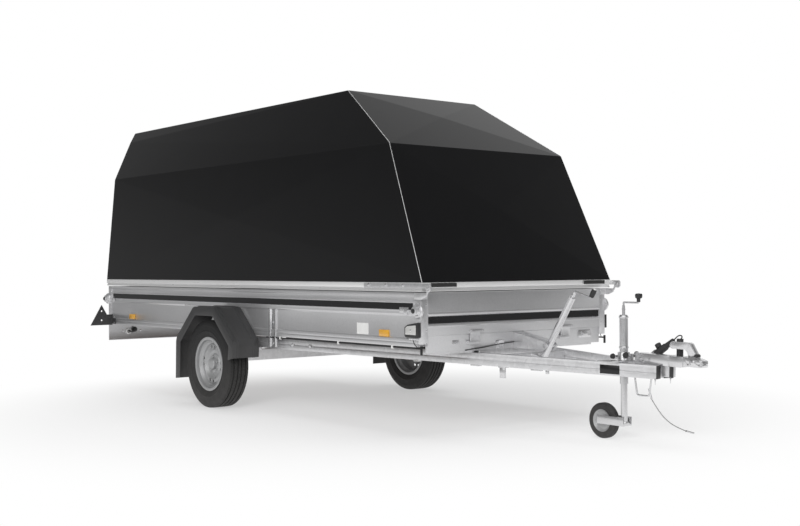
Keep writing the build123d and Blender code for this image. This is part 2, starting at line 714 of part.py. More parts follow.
# Rear lamp panel and lamps
panel_x = box_rear_x
panel_sheet = block(panel_x, panel_x + lamp_panel_thickness, -wall_outer, wall_outer,
                    lamp_panel_bottom_z, wall_bottom_z)
panel_foot = block(panel_x, panel_x + 22, -wall_outer, wall_outer,
                   lamp_panel_bottom_z, lamp_panel_bottom_z + lamp_panel_thickness)
panel_head = block(panel_x, panel_x + 40, -wall_outer, wall_outer,
                   wall_bottom_z - lamp_panel_thickness, wall_bottom_z)
save(panel_sheet + panel_foot + panel_head, "lamp_panel")
lamps = []
for side in (-1, 1):
    lens = block(panel_x - lamp_depth, panel_x, side * lamp_inner_half, side * lamp_outer_half,
                 lamp_panel_bottom_z + 12, wall_bottom_z - 18)
    lamps.append(fillet(lens.edges().filter_by(Axis.X), 12))
lamps.append(block(panel_x - 30, panel_x, -45, 45, wall_bottom_z - 48, wall_bottom_z - 22))
save(Compound(lamps), "tail_lamps")

# Warning triangles beside the rear posts, marker lamps at the front, side reflectors
triangle_side = 182
triangle_x = box_rear_x + 68
triangle_bottom_z = 462
triangle_thickness = 8
triangle_tab_width = 58
triangle_tab_height = 74
triangles = []
for side in (-1, 1):
    y_in = side * (wall_outer + 3)
    y_out = side * (wall_outer + 3 + triangle_side)
    y_mid = (y_in + y_out) / 2
    top = triangle_bottom_z + triangle_side * math.sqrt(3) / 2
    plate = lengthwise_profile([(y_in, triangle_bottom_z), (y_out, triangle_bottom_z), (y_mid, top)],
                               triangle_x, triangle_x + triangle_thickness)
    tab = block(triangle_x, triangle_x + triangle_thickness, side * wall_outer,
                side * (wall_outer + triangle_tab_width), wall_bottom_z, wall_bottom_z + triangle_tab_height)
    foot = block(triangle_x, triangle_x + 60, side * wall_outer, side * (wall_outer + 5), wall_bottom_z,
                 wall_bottom_z + sill_height)
    holes = [rod_between((triangle_x - 1, y_mid, z), (triangle_x + triangle_thickness + 1, y_mid, z), 7)
             for z in (triangle_bottom_z + 38, triangle_bottom_z + 110)]
    triangles.append(plate + tab + foot - holes)
save(Compound(triangles), "rear_triangles")

marker_length = 108
marker_bottom_z = 523
marker_height = 82
marker_depth = 26
markers = []
for side in (-1, 1):
    y0 = side * wall_outer
    y1 = side * (wall_outer + marker_depth)
    x1 = box_front_x - 5
    body = side_profile([(x1 - marker_length, marker_bottom_z + 8), (x1 - marker_length + 8, marker_bottom_z),
                         (x1, marker_bottom_z), (x1, marker_bottom_z + marker_height),
                         (x1 - marker_length + 26, marker_bottom_z + marker_height - 12),
                         (x1 - marker_length, marker_bottom_z + marker_height - 26)], y0, y1)
    lens_seat = block(x1 - marker_length + 12, x1 - 12, y1 - side * 6, y1 + side, marker_bottom_z + 16,
                      marker_bottom_z + marker_height - 28)
    markers.append(body - lens_seat)
save(Compound(markers), "marker_lamps")

reflector_length = 84
reflector_height = 38
reflector_places = (box_rear_x + 415, box_front_x - 323)
reflectors = []
for side in (-1, 1):
    for x in reflector_places:
        y0 = side * (wall_outer - sheet_recess)
        reflectors.append(block(x - reflector_length / 2, x + reflector_length / 2, y0,
                                side * (wall_outer + 6),
                                sill_top_z + 4, sill_top_z + 4 + reflector_height))
save(Compound(reflectors), "side_reflectors")

# Corner latches: a round toggle on each corner post with a lever along the wall
latch_z = 668
latch_radius = 42
latch_reach = 110
latches = []
for side in (-1, 1):
    for x, way in ((box_rear_x + 6, 1), (box_front_x - 20, -1)):
        disc = turned([(0, 0), (latch_radius, 0), (latch_radius, 10), (latch_radius - 5, 16), (29, 16),
                       (26, 32), (14, 32), (12, 40), (0, 40)], x, latch_z, wall_outer, side)
        lever = hull_plate((x, latch_z - 5), 12, (x + way * latch_reach, latch_z - 8), 8,
                           side * wall_outer, side * (wall_outer + 9))
        grip_x = x + way * latch_reach
        grip = block(grip_x - way * 26, grip_x, side * wall_outer, side * (wall_outer + 17),
                     latch_z - 20, latch_z + 5)
        latches.append(disc + lever + grip)
# Two latch handles on the front wall
handle_base_z = 476
handle_places = (-340, 392)
for y in handle_places:
    bar = block(box_front_x, box_front_x + 16, y - 48, y + 40, seam_z + 8, seam_z + 17)
    stem = block(box_front_x, box_front_x + 12, y - 48, y - 36, handle_base_z + 16, seam_z + 8)
    box_plate = block(box_front_x, box_front_x + 10, y - 36, y + 24, handle_base_z + 16, seam_z + 8)
    catch = block(box_front_x - 6, box_front_x + 20, y - 70, y + 10, handle_base_z, handle_base_z + 16)
    latches.append(bar + stem + box_plate + catch)
save(Compound(latches), "latches")

# Bracket plates on the front skirt that carry the jack
lean = math.radians(jack_lean)
lean_x = math.sin(lean)
lean_z = math.cos(lean)
trunnion_x = jack_foot_x + jack_trunnion_reach * lean_x
trunnion_z = jack_foot_z + jack_trunnion_reach * lean_z
plate_rear_x = box_front_x - 6
jack_plates = []
for side in (-1, 1):
    y0 = side * jack_plate_half
    y1 = side * (jack_plate_half + jack_plate_thickness)
    plate = side_profile([(plate_rear_x, front_skirt_bottom_z), (plate_rear_x, seam_z - 3),
                          (plate_rear_x + 70, 516),
                          (trunnion_x, trunnion_z + 26), (trunnion_x + 24, trunnion_z),
                          (trunnion_x, trunnion_z - 20),
                          (plate_rear_x + 100, front_skirt_bottom_z)], y0, y1)
    hole = across(trunnion_x, trunnion_z, 9 + running_clearance, y0 - side, y1 + side)
    jack_plates.append(plate - hole)
save(Compound(jack_plates), "jack_bracket")


def jack_point(reach, y=0):
    """A point on the jack's centre line, at a distance from its foot pin."""
    return (jack_foot_x + reach * lean_x, y, jack_foot_z + reach * lean_z)


jack_top = jack_tube_start + jack_tube_length
tube = rod_between(jack_point(jack_tube_start), jack_point(jack_top), jack_tube_radius)
rod_bore = rod_between(jack_point(jack_tube_start - 1), jack_point(jack_top - 14),
                       jack_rod_radius + running_clearance)
trunnions = across(trunnion_x, trunnion_z, 9, -jack_plate_half - jack_plate_thickness - 4,
                   jack_plate_half + jack_plate_thickness + 4)
spindle = rod_between(jack_point(jack_top), jack_point(jack_top + 34), 9)
save(tube + trunnions - rod_bore + spindle, "jack_tube")

crank_base = jack_point(jack_top + 41)
crank_tip = (crank_base[0] + jack_crank_length * lean_z, 0, crank_base[2] - jack_crank_length * lean_x)
jack_arm = rod_between(crank_base, crank_tip, 6)
jack_hub = rod_between(jack_point(jack_top + 34), jack_point(jack_top + 48), 10)
knob_end = (crank_tip[0] + 48 * lean_x, 0, crank_tip[2] + 48 * lean_z)
jack_knob = rod_between(crank_tip, knob_end, 14)
save(jack_arm + jack_hub + jack_knob, "jack_crank")
eye = across(jack_foot_x, jack_foot_z, jack_rod_radius, -foot_plate_half + 6, foot_plate_half - 6)
save(rod_between(jack_point(4), jack_point(jack_top - 20), jack_rod_radius) + eye, "jack_rod")

# Tailgate between the rear posts
gate_half = front_half - gate_side_gap
gate_mid_x = box_rear_x + wall_thickness / 2
gate_bottom_z = gate_hinge_z - wall_thickness / 2
gate_outline = [(0, gate_hinge_z), *end_face, (0, wall_top_z - 2), (wall_thickness, wall_top_z - 2),
                (wall_thickness, gate_hinge_z)]
gate = side_profile([(box_rear_x + depth, z) for depth, z in gate_outline], -gate_half, gate_half)
gate_foot = across(gate_mid_x, gate_hinge_z, wall_thickness / 2, -gate_half, gate_half)
gate_pins = across(gate_mid_x, gate_hinge_z, gate_pin_radius, -front_half - gate_pin_length,
                   front_half + gate_pin_length)
save(gate + gate_foot + gate_pins, "tailgate")


# Lid: cross-broken sheets on an aluminium frame
def lid_points(inset):
    """The lid's corners by name, drawn smaller all round by the inset."""
    points = {}
    for key, side in (("r", -1), ("l", 1)):
        knee = (lid_knee_half - inset, lid_knee_z - inset * 0.35)
        top = (lid_top_half - inset * 0.5, lid_top_z - inset)
        share = lid_fold_share
        fold = (knee[0] + (top[0] - knee[0]) * share + 5, knee[1] + (top[1] - knee[1]) * share + 3)
        points["low_front_" + key] = (lid_front_x - inset, side * (lid_half_width - inset), lid_bottom_z)
        points["low_rear_" + key] = (lid_rear_x + inset, side * (lid_half_width - inset), lid_bottom_z)
        points["knee_front_" + key] = (lid_knee_front_x - inset * 1.3, side * knee[0], knee[1])
        points["knee_rear_" + key] = (lid_knee_rear_x + inset, side * knee[0], knee[1])
        points["apex_" + key] = (lid_apex_x - inset * 0.6, side * top[0], top[1])
        points["top_rear_" + key] = (lid_top_rear_x + inset, side * top[0], top[1])
        points["fold_rear_" + key] = (lid_top_rear_x - 4 + inset, side * fold[0], fold[1])
    return points


lid_outer = lid_points(0)
lid_inner = lid_points(lid_skin)


def triangle(a, b, c):
    return Face(Wire.make_polygon([a, b, c], close=True))


def folded_sheet(outer, inner, corners):
    """A sheet whose outer and inner skins are flat triangles with the same corners."""
    faces = []
    for a, b, c in corners:
        faces.append(triangle(outer[a], outer[b], outer[c]))
        faces.append(triangle(inner[a], inner[c], inner[b]))
    edges = [(t[i], t[(i + 1) % 3]) for t in corners for i in range(3)]
    for a, b in edges:
        if (b, a) in edges:
            continue
        if outer[a] < outer[b]:
            faces.append(triangle(outer[a], inner[a], inner[b]))
            faces.append(triangle(outer[a], inner[b], outer[b]))
        else:
            faces.append(triangle(outer[b], outer[a], inner[a]))
            faces.append(triangle(outer[b], inner[a], inner[b]))
    return Solid(Shell(faces))


def crowned(names, crown):
    """A sheet between named corners whose middle stands proud of their plane."""
    outer = {name: lid_outer[name] for name in names}
    inner = {name: lid_inner[name] for name in names}
    for skin in (outer, inner):
        spots = [Vector(*skin[name]) for name in names]
        if len(names) == 4:
            middle = crossing(*spots)
        else:
            middle = sum(spots, Vector()) * (1 / len(spots))
        normal = (spots[1] - spots[0]).cross(spots[2] - spots[0]).normalized()
        middle = middle + normal * crown
        skin["middle"] = (middle.X, middle.Y, middle.Z)
    count = len(names)
    corners = [(names[i], names[(i + 1) % count], "middle") for i in range(count)]
    return folded_sheet(outer, inner, corners)


def crossing(a, b, c, d):
    """Where the diagonals of a flat four-sided sheet cross."""
    u = c - a
    v = d - b
    w = b - a
    share = w.cross(v).dot(u.cross(v)) / u.cross(v).dot(u.cross(v))
    return a + u * share


save(crowned(["low_rear_r", "low_front_r", "knee_front_r", "knee_rear_r"], side_crown), "lid_side_right")
save(crowned(["low_front_l", "low_rear_l", "knee_rear_l", "knee_front_l"], side_crown), "lid_side_left")
save(crowned(["low_front_r", "low_front_l", "knee_front_l", "knee_front_r"], front_crown), "lid_front")
save(crowned(["knee_front_r", "knee_front_l", "apex_l", "apex_r"], hood_crown), "lid_hood")
save(crowned(["apex_r", "apex_l", "top_rear_l", "top_rear_r"], roof_crown), "lid_roof")
save(crowned(["low_rear_l", "low_rear_r", "knee_rear_r", "fold_rear_r", "top_rear_r", "top_rear_l",
              "fold_rear_l",
              "knee_rear_l"], 3), "lid_rear")
chamfers = []
for key in ("r", "l"):
    a, b, c, d, e = [corner + key for corner in ("knee_front_", "apex_", "top_rear_", "fold_rear_",
                                                 "knee_rear_")]
    corners = [(a, b, d), (b, c, d), (a, d, e)]
    if key == "l":
        corners = [(p, r, q) for p, q, r in corners]
    chamfers.append(folded_sheet(lid_outer, lid_inner, corners))
save(Compound(chamfers), "lid_chamfers")

frame_outer = block(lid_rear_x, lid_front_x, -lid_half_width, lid_half_width, lid_frame_bottom_z,
                    lid_bottom_z)
frame_hole = block(lid_rear_x + lid_frame_width, lid_front_x - lid_frame_width,
                   -lid_half_width + lid_frame_width,
                   lid_half_width - lid_frame_width, lid_frame_bottom_z - 1, lid_bottom_z + 1)
save(frame_outer - frame_hole, "lid_frame")
pad_length = 176
pads = [block(lid_front_x, lid_front_x + 12, side * (lid_knee_half - pad_length), side * lid_knee_half,
              lid_bottom_z - 26, lid_bottom_z - 4) for side in (-1, 1)]
save(Compound(pads), "lid_pads")

# Lid hinges: an arm along each side of the frame turns on a pin in an ear of the box
arms = []
ears = []
for side in (-1, 1):
    y0 = side * lid_half_width
    y1 = y0 + side * hinge_arm_thickness
    arm_top = lid_bottom_z - 6
    arm = side_profile([(lid_hinge_x - hinge_arm_length, arm_top - hinge_arm_height),
                        (lid_hinge_x - hinge_arm_length, arm_top), (lid_hinge_x + 10, arm_top),
                        (lid_hinge_x + 18, arm_top - 8), (lid_hinge_x + 18, lid_hinge_z - 10),
                        (lid_hinge_x + 8, lid_hinge_z - 18), (lid_hinge_x - 8, lid_hinge_z - 18),
                        (lid_hinge_x - 18, lid_hinge_z - 8), (lid_hinge_x - 18, arm_top - hinge_arm_height)],
                        y0, y1)
    hole = across(lid_hinge_x, lid_hinge_z, hinge_pin_radius + running_clearance, y0 - side, y1 + side)
    arms.append(arm - hole)
    e1 = side * (lid_half_width - 2)
    e0 = side * (lid_half_width - 2 - hinge_ear_thickness)
    ear_low_z = wall_top_z - hinge_ear_height
    ear = side_profile([(box_front_x, ear_low_z), (box_front_x, wall_top_z), (lid_hinge_x - 26, wall_top_z),
                        (lid_hinge_x - 12, lid_hinge_z + 12), (lid_hinge_x + 10, lid_hinge_z + 12),
                        (lid_hinge_x + 12, lid_hinge_z - 10), (lid_hinge_x - 8, lid_hinge_z - 14),
                        (lid_hinge_x - 30, ear_low_z + 14), (box_front_x + 20, ear_low_z)], e0, e1)
    root = block(box_front_x - 40, box_front_x, side * wall_outer, e1, ear_low_z, wall_top_z)
    foot = block(box_front_x, box_front_x + 6, side * (wall_outer - 40), e0, ear_low_z, wall_top_z)
    pin = across(lid_hinge_x, lid_hinge_z, hinge_pin_radius, e1, y1 + side * 6)
    ears.append(ear + root + foot + pin)
save(Compound(arms), "lid_arms")
save(Compound(ears), "lid_ears")


# A bent rod under the right-hand beam, with the breakaway wire hung from it
loop_radius = 5
loop_rear_x = 2870
loop_front_x = 2977
loop_low_z = 241
loop_y = -57
loop_high_z = beam_top(loop_rear_x) - rail_height
loop_path = FilletPolyline((loop_rear_x, loop_y, loop_high_z), (loop_rear_x + 14, loop_y, loop_low_z),
                           (loop_front_x - 14, loop_y, loop_low_z), (loop_front_x, loop_y, loop_high_z),
                           radius=16)
loop_section = Plane(origin=loop_path @ 0, z_dir=loop_path % 0) * Circle(loop_radius)
loop = sweep(loop_section, path=loop_path)
loop = loop - right_beam
save(loop, "wire_loop")


def cord_tube(points, diameter, name):
    """A cord as straight runs joined by arcs, each arc as large as its two runs allow."""
    spots = [Vector(*point) for point in points]
    radii = []
    for before, corner, after in zip(spots, spots[1:], spots[2:]):
        turn = math.radians((corner - before).get_angle(after - corner))
        shorter = min((corner - before).length, (after - corner).length)
        radii.append(0.45 * shorter / math.tan(turn / 2))
    path = FilletPolyline(*spots, radius=radii)
    section = Plane(origin=path @ 0, z_dir=path % 0) * Circle(diameter / 2)
    tube = sweep(section, path=path)
    print(name, "length", round(path.length, 1), "radii", [round(r, 1) for r in radii],
          "volume ratio", round(tube.volume / (path.length * math.pi * diameter ** 2 / 4), 4))
    return tube


wire_diameter = 5
wire_start = (2976, loop_y, 228)
wire_route = [wire_start, (2991, -31, 177), (3014, 4, 123), (3045, 50, 82), (3070, 100, 60)]
ferrule = rod_between((2959, loop_y, 280), wire_start, 5)
wire = cord_tube(wire_route, wire_diameter, "breakaway_wire")
save(wire, "breakaway_wire")
wire_end = rod_between(wire_route[-1], (3078, 152, 45), 5)
save(Compound([ferrule - loop - wire, wire_end - wire]), "wire_fittings")

# Trailer plug parked in a cup on the coupling's far side, its lead looping over into a
# rubber sleeve behind the handle
plug_y = 52
plug_low = tilted_point(2905, plug_y, coupling_top_z - 19)
plug_high = tilted_point(3031, plug_y, coupling_top_z + 73)
plug_run = Vector(*plug_high) - Vector(*plug_low)
plug_length = plug_run.length
plug_axis = Plane(origin=plug_low, x_dir=Vector(-plug_run.Z, 0, plug_run.X), z_dir=plug_run)
plug_body = plug_axis * turned_up([(0, 0), (20, 0), (20, 44), (18.5, 48), (18.5, 92), (15, 100),
                                   (12, plug_length - 3), (9, plug_length), (0, plug_length)], 0, 0, 0)
plug_cap = plug_axis * Pos(28, 0, 56) * Cylinder(16, 22, rotation=(0, 90, 0))
cup = plug_axis * rod_between((0, 0, -5), (0, 0, 26), 24)
arm = tilted(block(2896, 2930, coupling_width / 2, plug_y, coupling_top_z - 40, coupling_top_z - 12))
holder = cup + arm - plug_body - coupling
save(holder, "plug_holder")
sleeve_top_z = coupling_top_z + 84
sleeve_x = 3084
sleeve_y = 34
sleeve = tilted(rod_between((sleeve_x, sleeve_y, coupling_floor_z + 20), (sleeve_x, sleeve_y, sleeve_top_z),
                            17))
lead_diameter = 6
lead_route = [plug_high, (3054, 49, 542), (3076, 44, 552), (3094, 39, 550), (3098, 36, 541),
              tilted_point(sleeve_x + 6, sleeve_y, sleeve_top_z)]
lead = cord_tube(lead_route, lead_diameter, "plug_lead")
save(lead, "plug_lead")
save(Compound([plug_body + plug_cap - holder - coupling - lead, sleeve - coupling - lead]), "plug")

# Wiring loom clipped along the right-hand beam's upper edge
loom_radius = 5
loom_lift = loom_radius + lug_gap
loom_start_x = 560
loom_end_x = 1965


def on_beam(x, lift, outwards=14):
    """A point above the right-hand beam, towards its outer edge."""
    return (x, -(beam_mid(x) + outwards), beam_top(x) + lift)


save(rod_between(on_beam(loom_start_x, loom_lift), on_beam(loom_end_x, loom_lift), loom_radius), "loom")
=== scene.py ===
# %% [markdown]
# A lidded utility trailer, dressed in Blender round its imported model.
#
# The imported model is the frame: every rigid piece already stands at its real size and
# place, in metres, on the body that it moves with. This script never moves one of them.
# It gives each its finish, and puts a finer piece in the place of those that need one.

# %% Load the frame
import json
import math

import bmesh
import bpy
from mathutils import Matrix, Vector
from mathutils.geometry import intersect_line_line


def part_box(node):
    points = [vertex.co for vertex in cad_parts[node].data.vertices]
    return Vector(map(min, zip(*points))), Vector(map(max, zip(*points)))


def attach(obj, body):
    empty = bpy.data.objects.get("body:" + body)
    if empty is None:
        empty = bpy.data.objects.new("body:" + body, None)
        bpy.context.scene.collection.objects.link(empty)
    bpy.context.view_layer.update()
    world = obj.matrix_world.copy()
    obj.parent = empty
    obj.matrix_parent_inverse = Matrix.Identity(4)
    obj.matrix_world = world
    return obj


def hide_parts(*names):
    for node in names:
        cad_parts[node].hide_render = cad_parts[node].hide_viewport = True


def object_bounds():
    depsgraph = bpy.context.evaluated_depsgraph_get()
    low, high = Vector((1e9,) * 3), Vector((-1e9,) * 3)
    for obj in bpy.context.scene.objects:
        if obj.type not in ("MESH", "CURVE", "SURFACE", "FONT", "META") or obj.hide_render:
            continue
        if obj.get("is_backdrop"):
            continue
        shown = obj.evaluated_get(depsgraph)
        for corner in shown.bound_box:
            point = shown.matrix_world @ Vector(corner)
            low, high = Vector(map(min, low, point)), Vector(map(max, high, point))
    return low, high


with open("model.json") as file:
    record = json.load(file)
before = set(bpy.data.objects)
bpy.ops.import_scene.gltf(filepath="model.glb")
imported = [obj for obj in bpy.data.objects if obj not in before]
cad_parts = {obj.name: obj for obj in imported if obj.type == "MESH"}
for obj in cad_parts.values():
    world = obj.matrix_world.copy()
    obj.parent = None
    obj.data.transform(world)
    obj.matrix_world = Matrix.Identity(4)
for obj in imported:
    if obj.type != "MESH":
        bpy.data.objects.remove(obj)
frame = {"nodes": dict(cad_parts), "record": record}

cad_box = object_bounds()
print("length, width, height", [round(high - low, 3) for low, high in zip(*cad_box)])

# %% [markdown]
# A trailer is measured from its axle line, so this script does the same. Places are
# written in millimetres: ahead of the axle, to the left, and upwards. The wheel's centre
# in the frame says where that is, and one function turns such a place into metres.

# %% Measures from the axle
axle_height = 273.5
wheel_low, wheel_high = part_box("tyre_right")
axle = (wheel_low + wheel_high) / 2


def at(x, y, z):
    """A place in metres, from millimetres ahead of the axle, to the left and up."""
    return Vector((axle.x + x / 1000, y / 1000, axle.z + (z - axle_height) / 1000))


print("axle line at x", round(axle.x, 4), "and wheel centre at z", round(axle.z, 4))

# %% [markdown]
# The camera stands where the photographer stood, a little below eye level and off the
# right-hand front corner. Its place, lens and tilt were solved from the straight edges
# of the box, so the picture's vanishing lines fall where they do in the photograph.
# Azimuth is the turn from +Y towards -X, and a lens is given for a 36 mm wide sensor.

# %% Camera
camera_place = at(6774.6, -4776.2, 907.8)
camera_azimuth = math.radians(50.967)
camera_pitch = math.radians(0.178)
camera_roll = math.radians(0.335)
camera_lens, sensor_width = 52.44, 36

forward = Vector((-math.sin(camera_azimuth) * math.cos(camera_pitch),
                  math.cos(camera_azimuth) * math.cos(camera_pitch),
                  math.sin(camera_pitch)))
level_right = Vector((math.cos(camera_azimuth), math.sin(camera_azimuth), 0))
level_up = level_right.cross(forward)
right = level_right * math.cos(camera_roll) - level_up * math.sin(camera_roll)
up = level_right * math.sin(camera_roll) + level_up * math.cos(camera_roll)

camera_data = bpy.data.cameras.new("camera")
camera_data.lens = camera_lens
camera_data.sensor_width = sensor_width
camera_data.clip_end = 200
camera = bpy.data.objects.new("camera", camera_data)
bpy.context.scene.collection.objects.link(camera)
turn = Matrix((right, up, -forward)).transposed()
camera.matrix_world = Matrix.Translation(camera_place) @ turn.to_4x4()
bpy.context.scene.camera = camera
bpy.context.scene.view_settings.view_transform = "Standard"
print("camera at", [round(value, 3) for value in camera_place], "with a lens of", camera_lens, "mm")

# %% [markdown]
# A finish is made of shader nodes. A few small helpers keep the node code short. One adds
# a node and fills its inputs by name, with a plain value or with another node's output.
# Two more wrap the Math and Mix nodes. A Mix node has inputs of the same names for each
# type, so they are picked by number.

# %% Node helpers
mix_sockets = {"VECTOR": (4, 5, 1), "RGBA": (6, 7, 2)}


def feed(tree, socket, value):
    """Links another node's output to a socket, or sets the socket's own value."""
    if isinstance(value, bpy.types.NodeSocket):
        tree.links.new(value, socket)
    else:
        socket.default_value = value


def add_node(tree, kind, **settings):
    """Adds a node; a setting is a property of the node, or else what feeds an input."""
    node = tree.nodes.new(kind)
    for name, value in settings.items():
        if hasattr(node, name):
            setattr(node, name, value)
        else:
            feed(tree, node.inputs[name.replace("_", " ")], value)
    return node


def maths(tree, operation, *values):
    """The result of a Math node."""
    node = add_node(tree, "ShaderNodeMath", operation=operation)
    for socket, value in zip(node.inputs, values):
        feed(tree, socket, value)
    return node.outputs[0]


def mix(tree, kind, share, first, second):
    """A blend of two vectors or two colours."""
    first_socket, second_socket, result = mix_sockets[kind]
    node = add_node(tree, "ShaderNodeMix", data_type=kind, Factor=share)
    feed(tree, node.inputs[first_socket], first)
    feed(tree, node.inputs[second_socket], second)
    return node.outputs[result]


# %% [markdown]
# An effect that several finishes share becomes a node group, built once. From outside it
# looks like one node with its own named inputs, so that each finish only sets numbers.
# This function opens a group and hands back what is given to it and what it has to fill.

# %% Group helper
noise_middle = 0.5
number, colour_kind = "NodeSocketFloat", "NodeSocketColor"


def new_group(name, inputs, outputs):
    """A shader node group with named numbers as inputs and typed outputs."""
    group = bpy.data.node_groups.new(name, "ShaderNodeTree")
    for label, value in inputs.items():
        group.interface.new_socket(label, in_out="INPUT", socket_type=number).default_value = value
    for label, kind in outputs.items():
        group.interface.new_socket(label, in_out="OUTPUT", socket_type=kind)
    given = add_node(group, "NodeGroupInput").outputs
    wanted = add_node(group, "NodeGroupOutput").inputs
    return group, given, wanted


# %% [markdown]
# Zinc freezes on hot steel in flat crystals, called spangle. Each crystal has its own
# tone, so a Voronoi texture is a close match: one random grey per cell. A noise bends
# the straight cells a little. A broad one adds the cloudy drift that a sheet gets as it
# leaves the bath. The cells turn the roughness as well, because crystals don't shine alike.

# %% Spangle group
crystal_wobble = 0.012
blue_share = 1.015

spangle_group, given, wanted = new_group(
    "Zinc spangle",
    {"Scale": 60.0, "Tone": 0.55, "Crystal": 0.08, "Cloud": 0.08, "Roughness": 0.4, "Spread": 0.12},
    {"Color": colour_kind, "Roughness": number, "Height": number})
tree = spangle_group
place = add_node(tree, "ShaderNodeTexCoord").outputs["Object"]
waves = add_node(tree, "ShaderNodeTexNoise", Vector=place, Scale=9.0, Detail=2.0)
bent_place = mix(tree, "VECTOR", crystal_wobble, place, waves.outputs["Color"])
cells = add_node(tree, "ShaderNodeTexVoronoi", feature="F1", Vector=bent_place, Scale=given["Scale"])
cell_grey = add_node(tree, "ShaderNodeSeparateColor", Color=cells.outputs["Color"]).outputs["Red"]
cloud = add_node(tree, "ShaderNodeTexNoise", Vector=place, Scale=2.3, Detail=5.0,
                 Roughness=0.6).outputs["Fac"]
crystal = maths(tree, "SUBTRACT", cell_grey, noise_middle)
drift = maths(tree, "SUBTRACT", cloud, noise_middle)
cell_tone = maths(tree, "MULTIPLY_ADD", crystal, given["Crystal"], given["Tone"])
tone = maths(tree, "MULTIPLY_ADD", drift, given["Cloud"], cell_tone)
blue = maths(tree, "MULTIPLY", tone, blue_share)
colour = add_node(tree, "ShaderNodeCombineColor", Red=tone, Green=tone, Blue=blue)
feed(tree, wanted["Color"], colour.outputs[0])
feed(tree, wanted["Roughness"], maths(tree, "MULTIPLY_ADD", crystal, given["Spread"], given["Roughness"]))
feed(tree, wanted["Height"], cloud)
print(tree.name, "has", len(tree.nodes), "nodes")

# %% [markdown]
# Plastic and rubber come out of moulds with a fine grain, and paint dries with a faint
# ripple. Both are the same thing at different scales: a noise that lifts the surface a
# little and makes its gloss uneven. The group gives the height and the roughness, and
# each material sets how strong its own Bump node is.

# %% Grain group
grain_group, given, wanted = new_group(
    "Moulded grain",
    {"Scale": 600.0, "Roughness": 0.5, "Spread": 0.1},
    {"Roughness": number, "Height": number, "Mask": number})
tree = grain_group
place = add_node(tree, "ShaderNodeTexCoord").outputs["Object"]
fine = add_node(tree, "ShaderNodeTexNoise", Vector=place, Scale=given["Scale"], Detail=3.0).outputs["Fac"]
patch = add_node(tree, "ShaderNodeTexNoise", Vector=place, Scale=6.0, Detail=4.0,
                 Roughness=0.65).outputs["Fac"]
uneven = maths(tree, "SUBTRACT", patch, noise_middle)
feed(tree, wanted["Roughness"], maths(tree, "MULTIPLY_ADD", uneven, given["Spread"], given["Roughness"]))
feed(tree, wanted["Height"], fine)
feed(tree, wanted["Mask"], patch)
print(tree.name, "has", len(tree.nodes), "nodes")

# %% [markdown]
# Extruded and drawn metal carries fine lines along its length. A noise that is stretched
# along one axis of the object draws them, and the group takes the three scales, so that
# a rail that runs along X and a wire that runs along Z can use the same effect.

# %% Drawn lines group
line_gloss = 0.15

lines_group, given, wanted = new_group(
    "Drawn lines",
    {"Along X": 1.0, "Along Y": 60.0, "Along Z": 60.0, "Tone": 0.6, "Spread": 0.06, "Roughness": 0.3},
    {"Color": colour_kind, "Roughness": number, "Height": number})
tree = lines_group
place = add_node(tree, "ShaderNodeTexCoord").outputs["Object"]
scales = add_node(tree, "ShaderNodeCombineXYZ", X=given["Along X"], Y=given["Along Y"], Z=given["Along Z"])
stretch = add_node(tree, "ShaderNodeVectorMath", operation="MULTIPLY")
feed(tree, stretch.inputs[0], place)
feed(tree, stretch.inputs[1], scales.outputs[0])
streak = add_node(tree, "ShaderNodeTexNoise", Vector=stretch.outputs[0], Scale=6.0, Detail=3.0,
                  Roughness=0.6).outputs["Fac"]
offset = maths(tree, "SUBTRACT", streak, noise_middle)
grey = maths(tree, "MULTIPLY_ADD", offset, given["Spread"], given["Tone"])
colour = add_node(tree, "ShaderNodeCombineColor", Red=grey, Green=grey, Blue=grey)
feed(tree, wanted["Color"], colour.outputs[0])
feed(tree, wanted["Roughness"], maths(tree, "MULTIPLY_ADD", offset, line_gloss, given["Roughness"]))
feed(tree, wanted["Height"], streak)
print(tree.name, "has", len(tree.nodes), "nodes")

# %% [markdown]
# Road dust settles low down. The last group gives a mask from the height above the
# ground, broken up by noise, so that wheels and rails are a touch duller near the road.

# %% Dust group
dust_group, given, wanted = new_group("Road dust", {"Low": 0.0, "High": 0.6, "Amount": 0.3}, {"Mask": number})
tree = dust_group
place = add_node(tree, "ShaderNodeTexCoord").outputs["Object"]
height = add_node(tree, "ShaderNodeSeparateXYZ", Vector=place).outputs["Z"]
fade = add_node(tree, "ShaderNodeMapRange", Value=height, From_Min=given["Low"], From_Max=given["High"],
                To_Min=1.0, To_Max=0.0).outputs[0]
speck = add_node(tree, "ShaderNodeTexNoise", Vector=place, Scale=25.0, Detail=6.0,
                 Roughness=0.7).outputs["Fac"]
settled = maths(tree, "MULTIPLY", fade, speck)
feed(tree, wanted["Mask"], maths(tree, "MULTIPLY", settled, given["Amount"]))
print(tree.name, "has", len(tree.nodes), "nodes")

# %% [markdown]
# Each finish is one Principled shader. Numbers that are the same all over, such as the
# index of refraction, are typed on the shader's own sockets, and only what varies over
# the surface is linked.

# %% Material helpers
bump_depth = 0.001


def new_material(name, **plain):
    """A material with one Principled shader whose plain inputs are set by name."""
    material = bpy.data.materials.new(name)
    material.use_nodes = True
    shader = material.node_tree.nodes["Principled BSDF"]
    for label, value in plain.items():
        shader.inputs[label.replace("_", " ")].default_value = value
    return material, material.node_tree, shader


def add_bump(tree, shader, height, strength):
    """Turns a height into a bump on the shader."""
    bump = add_node(tree, "ShaderNodeBump", Strength=strength, Distance=bump_depth, Height=height)
    feed(tree, shader.inputs["Normal"], bump.outputs[0])


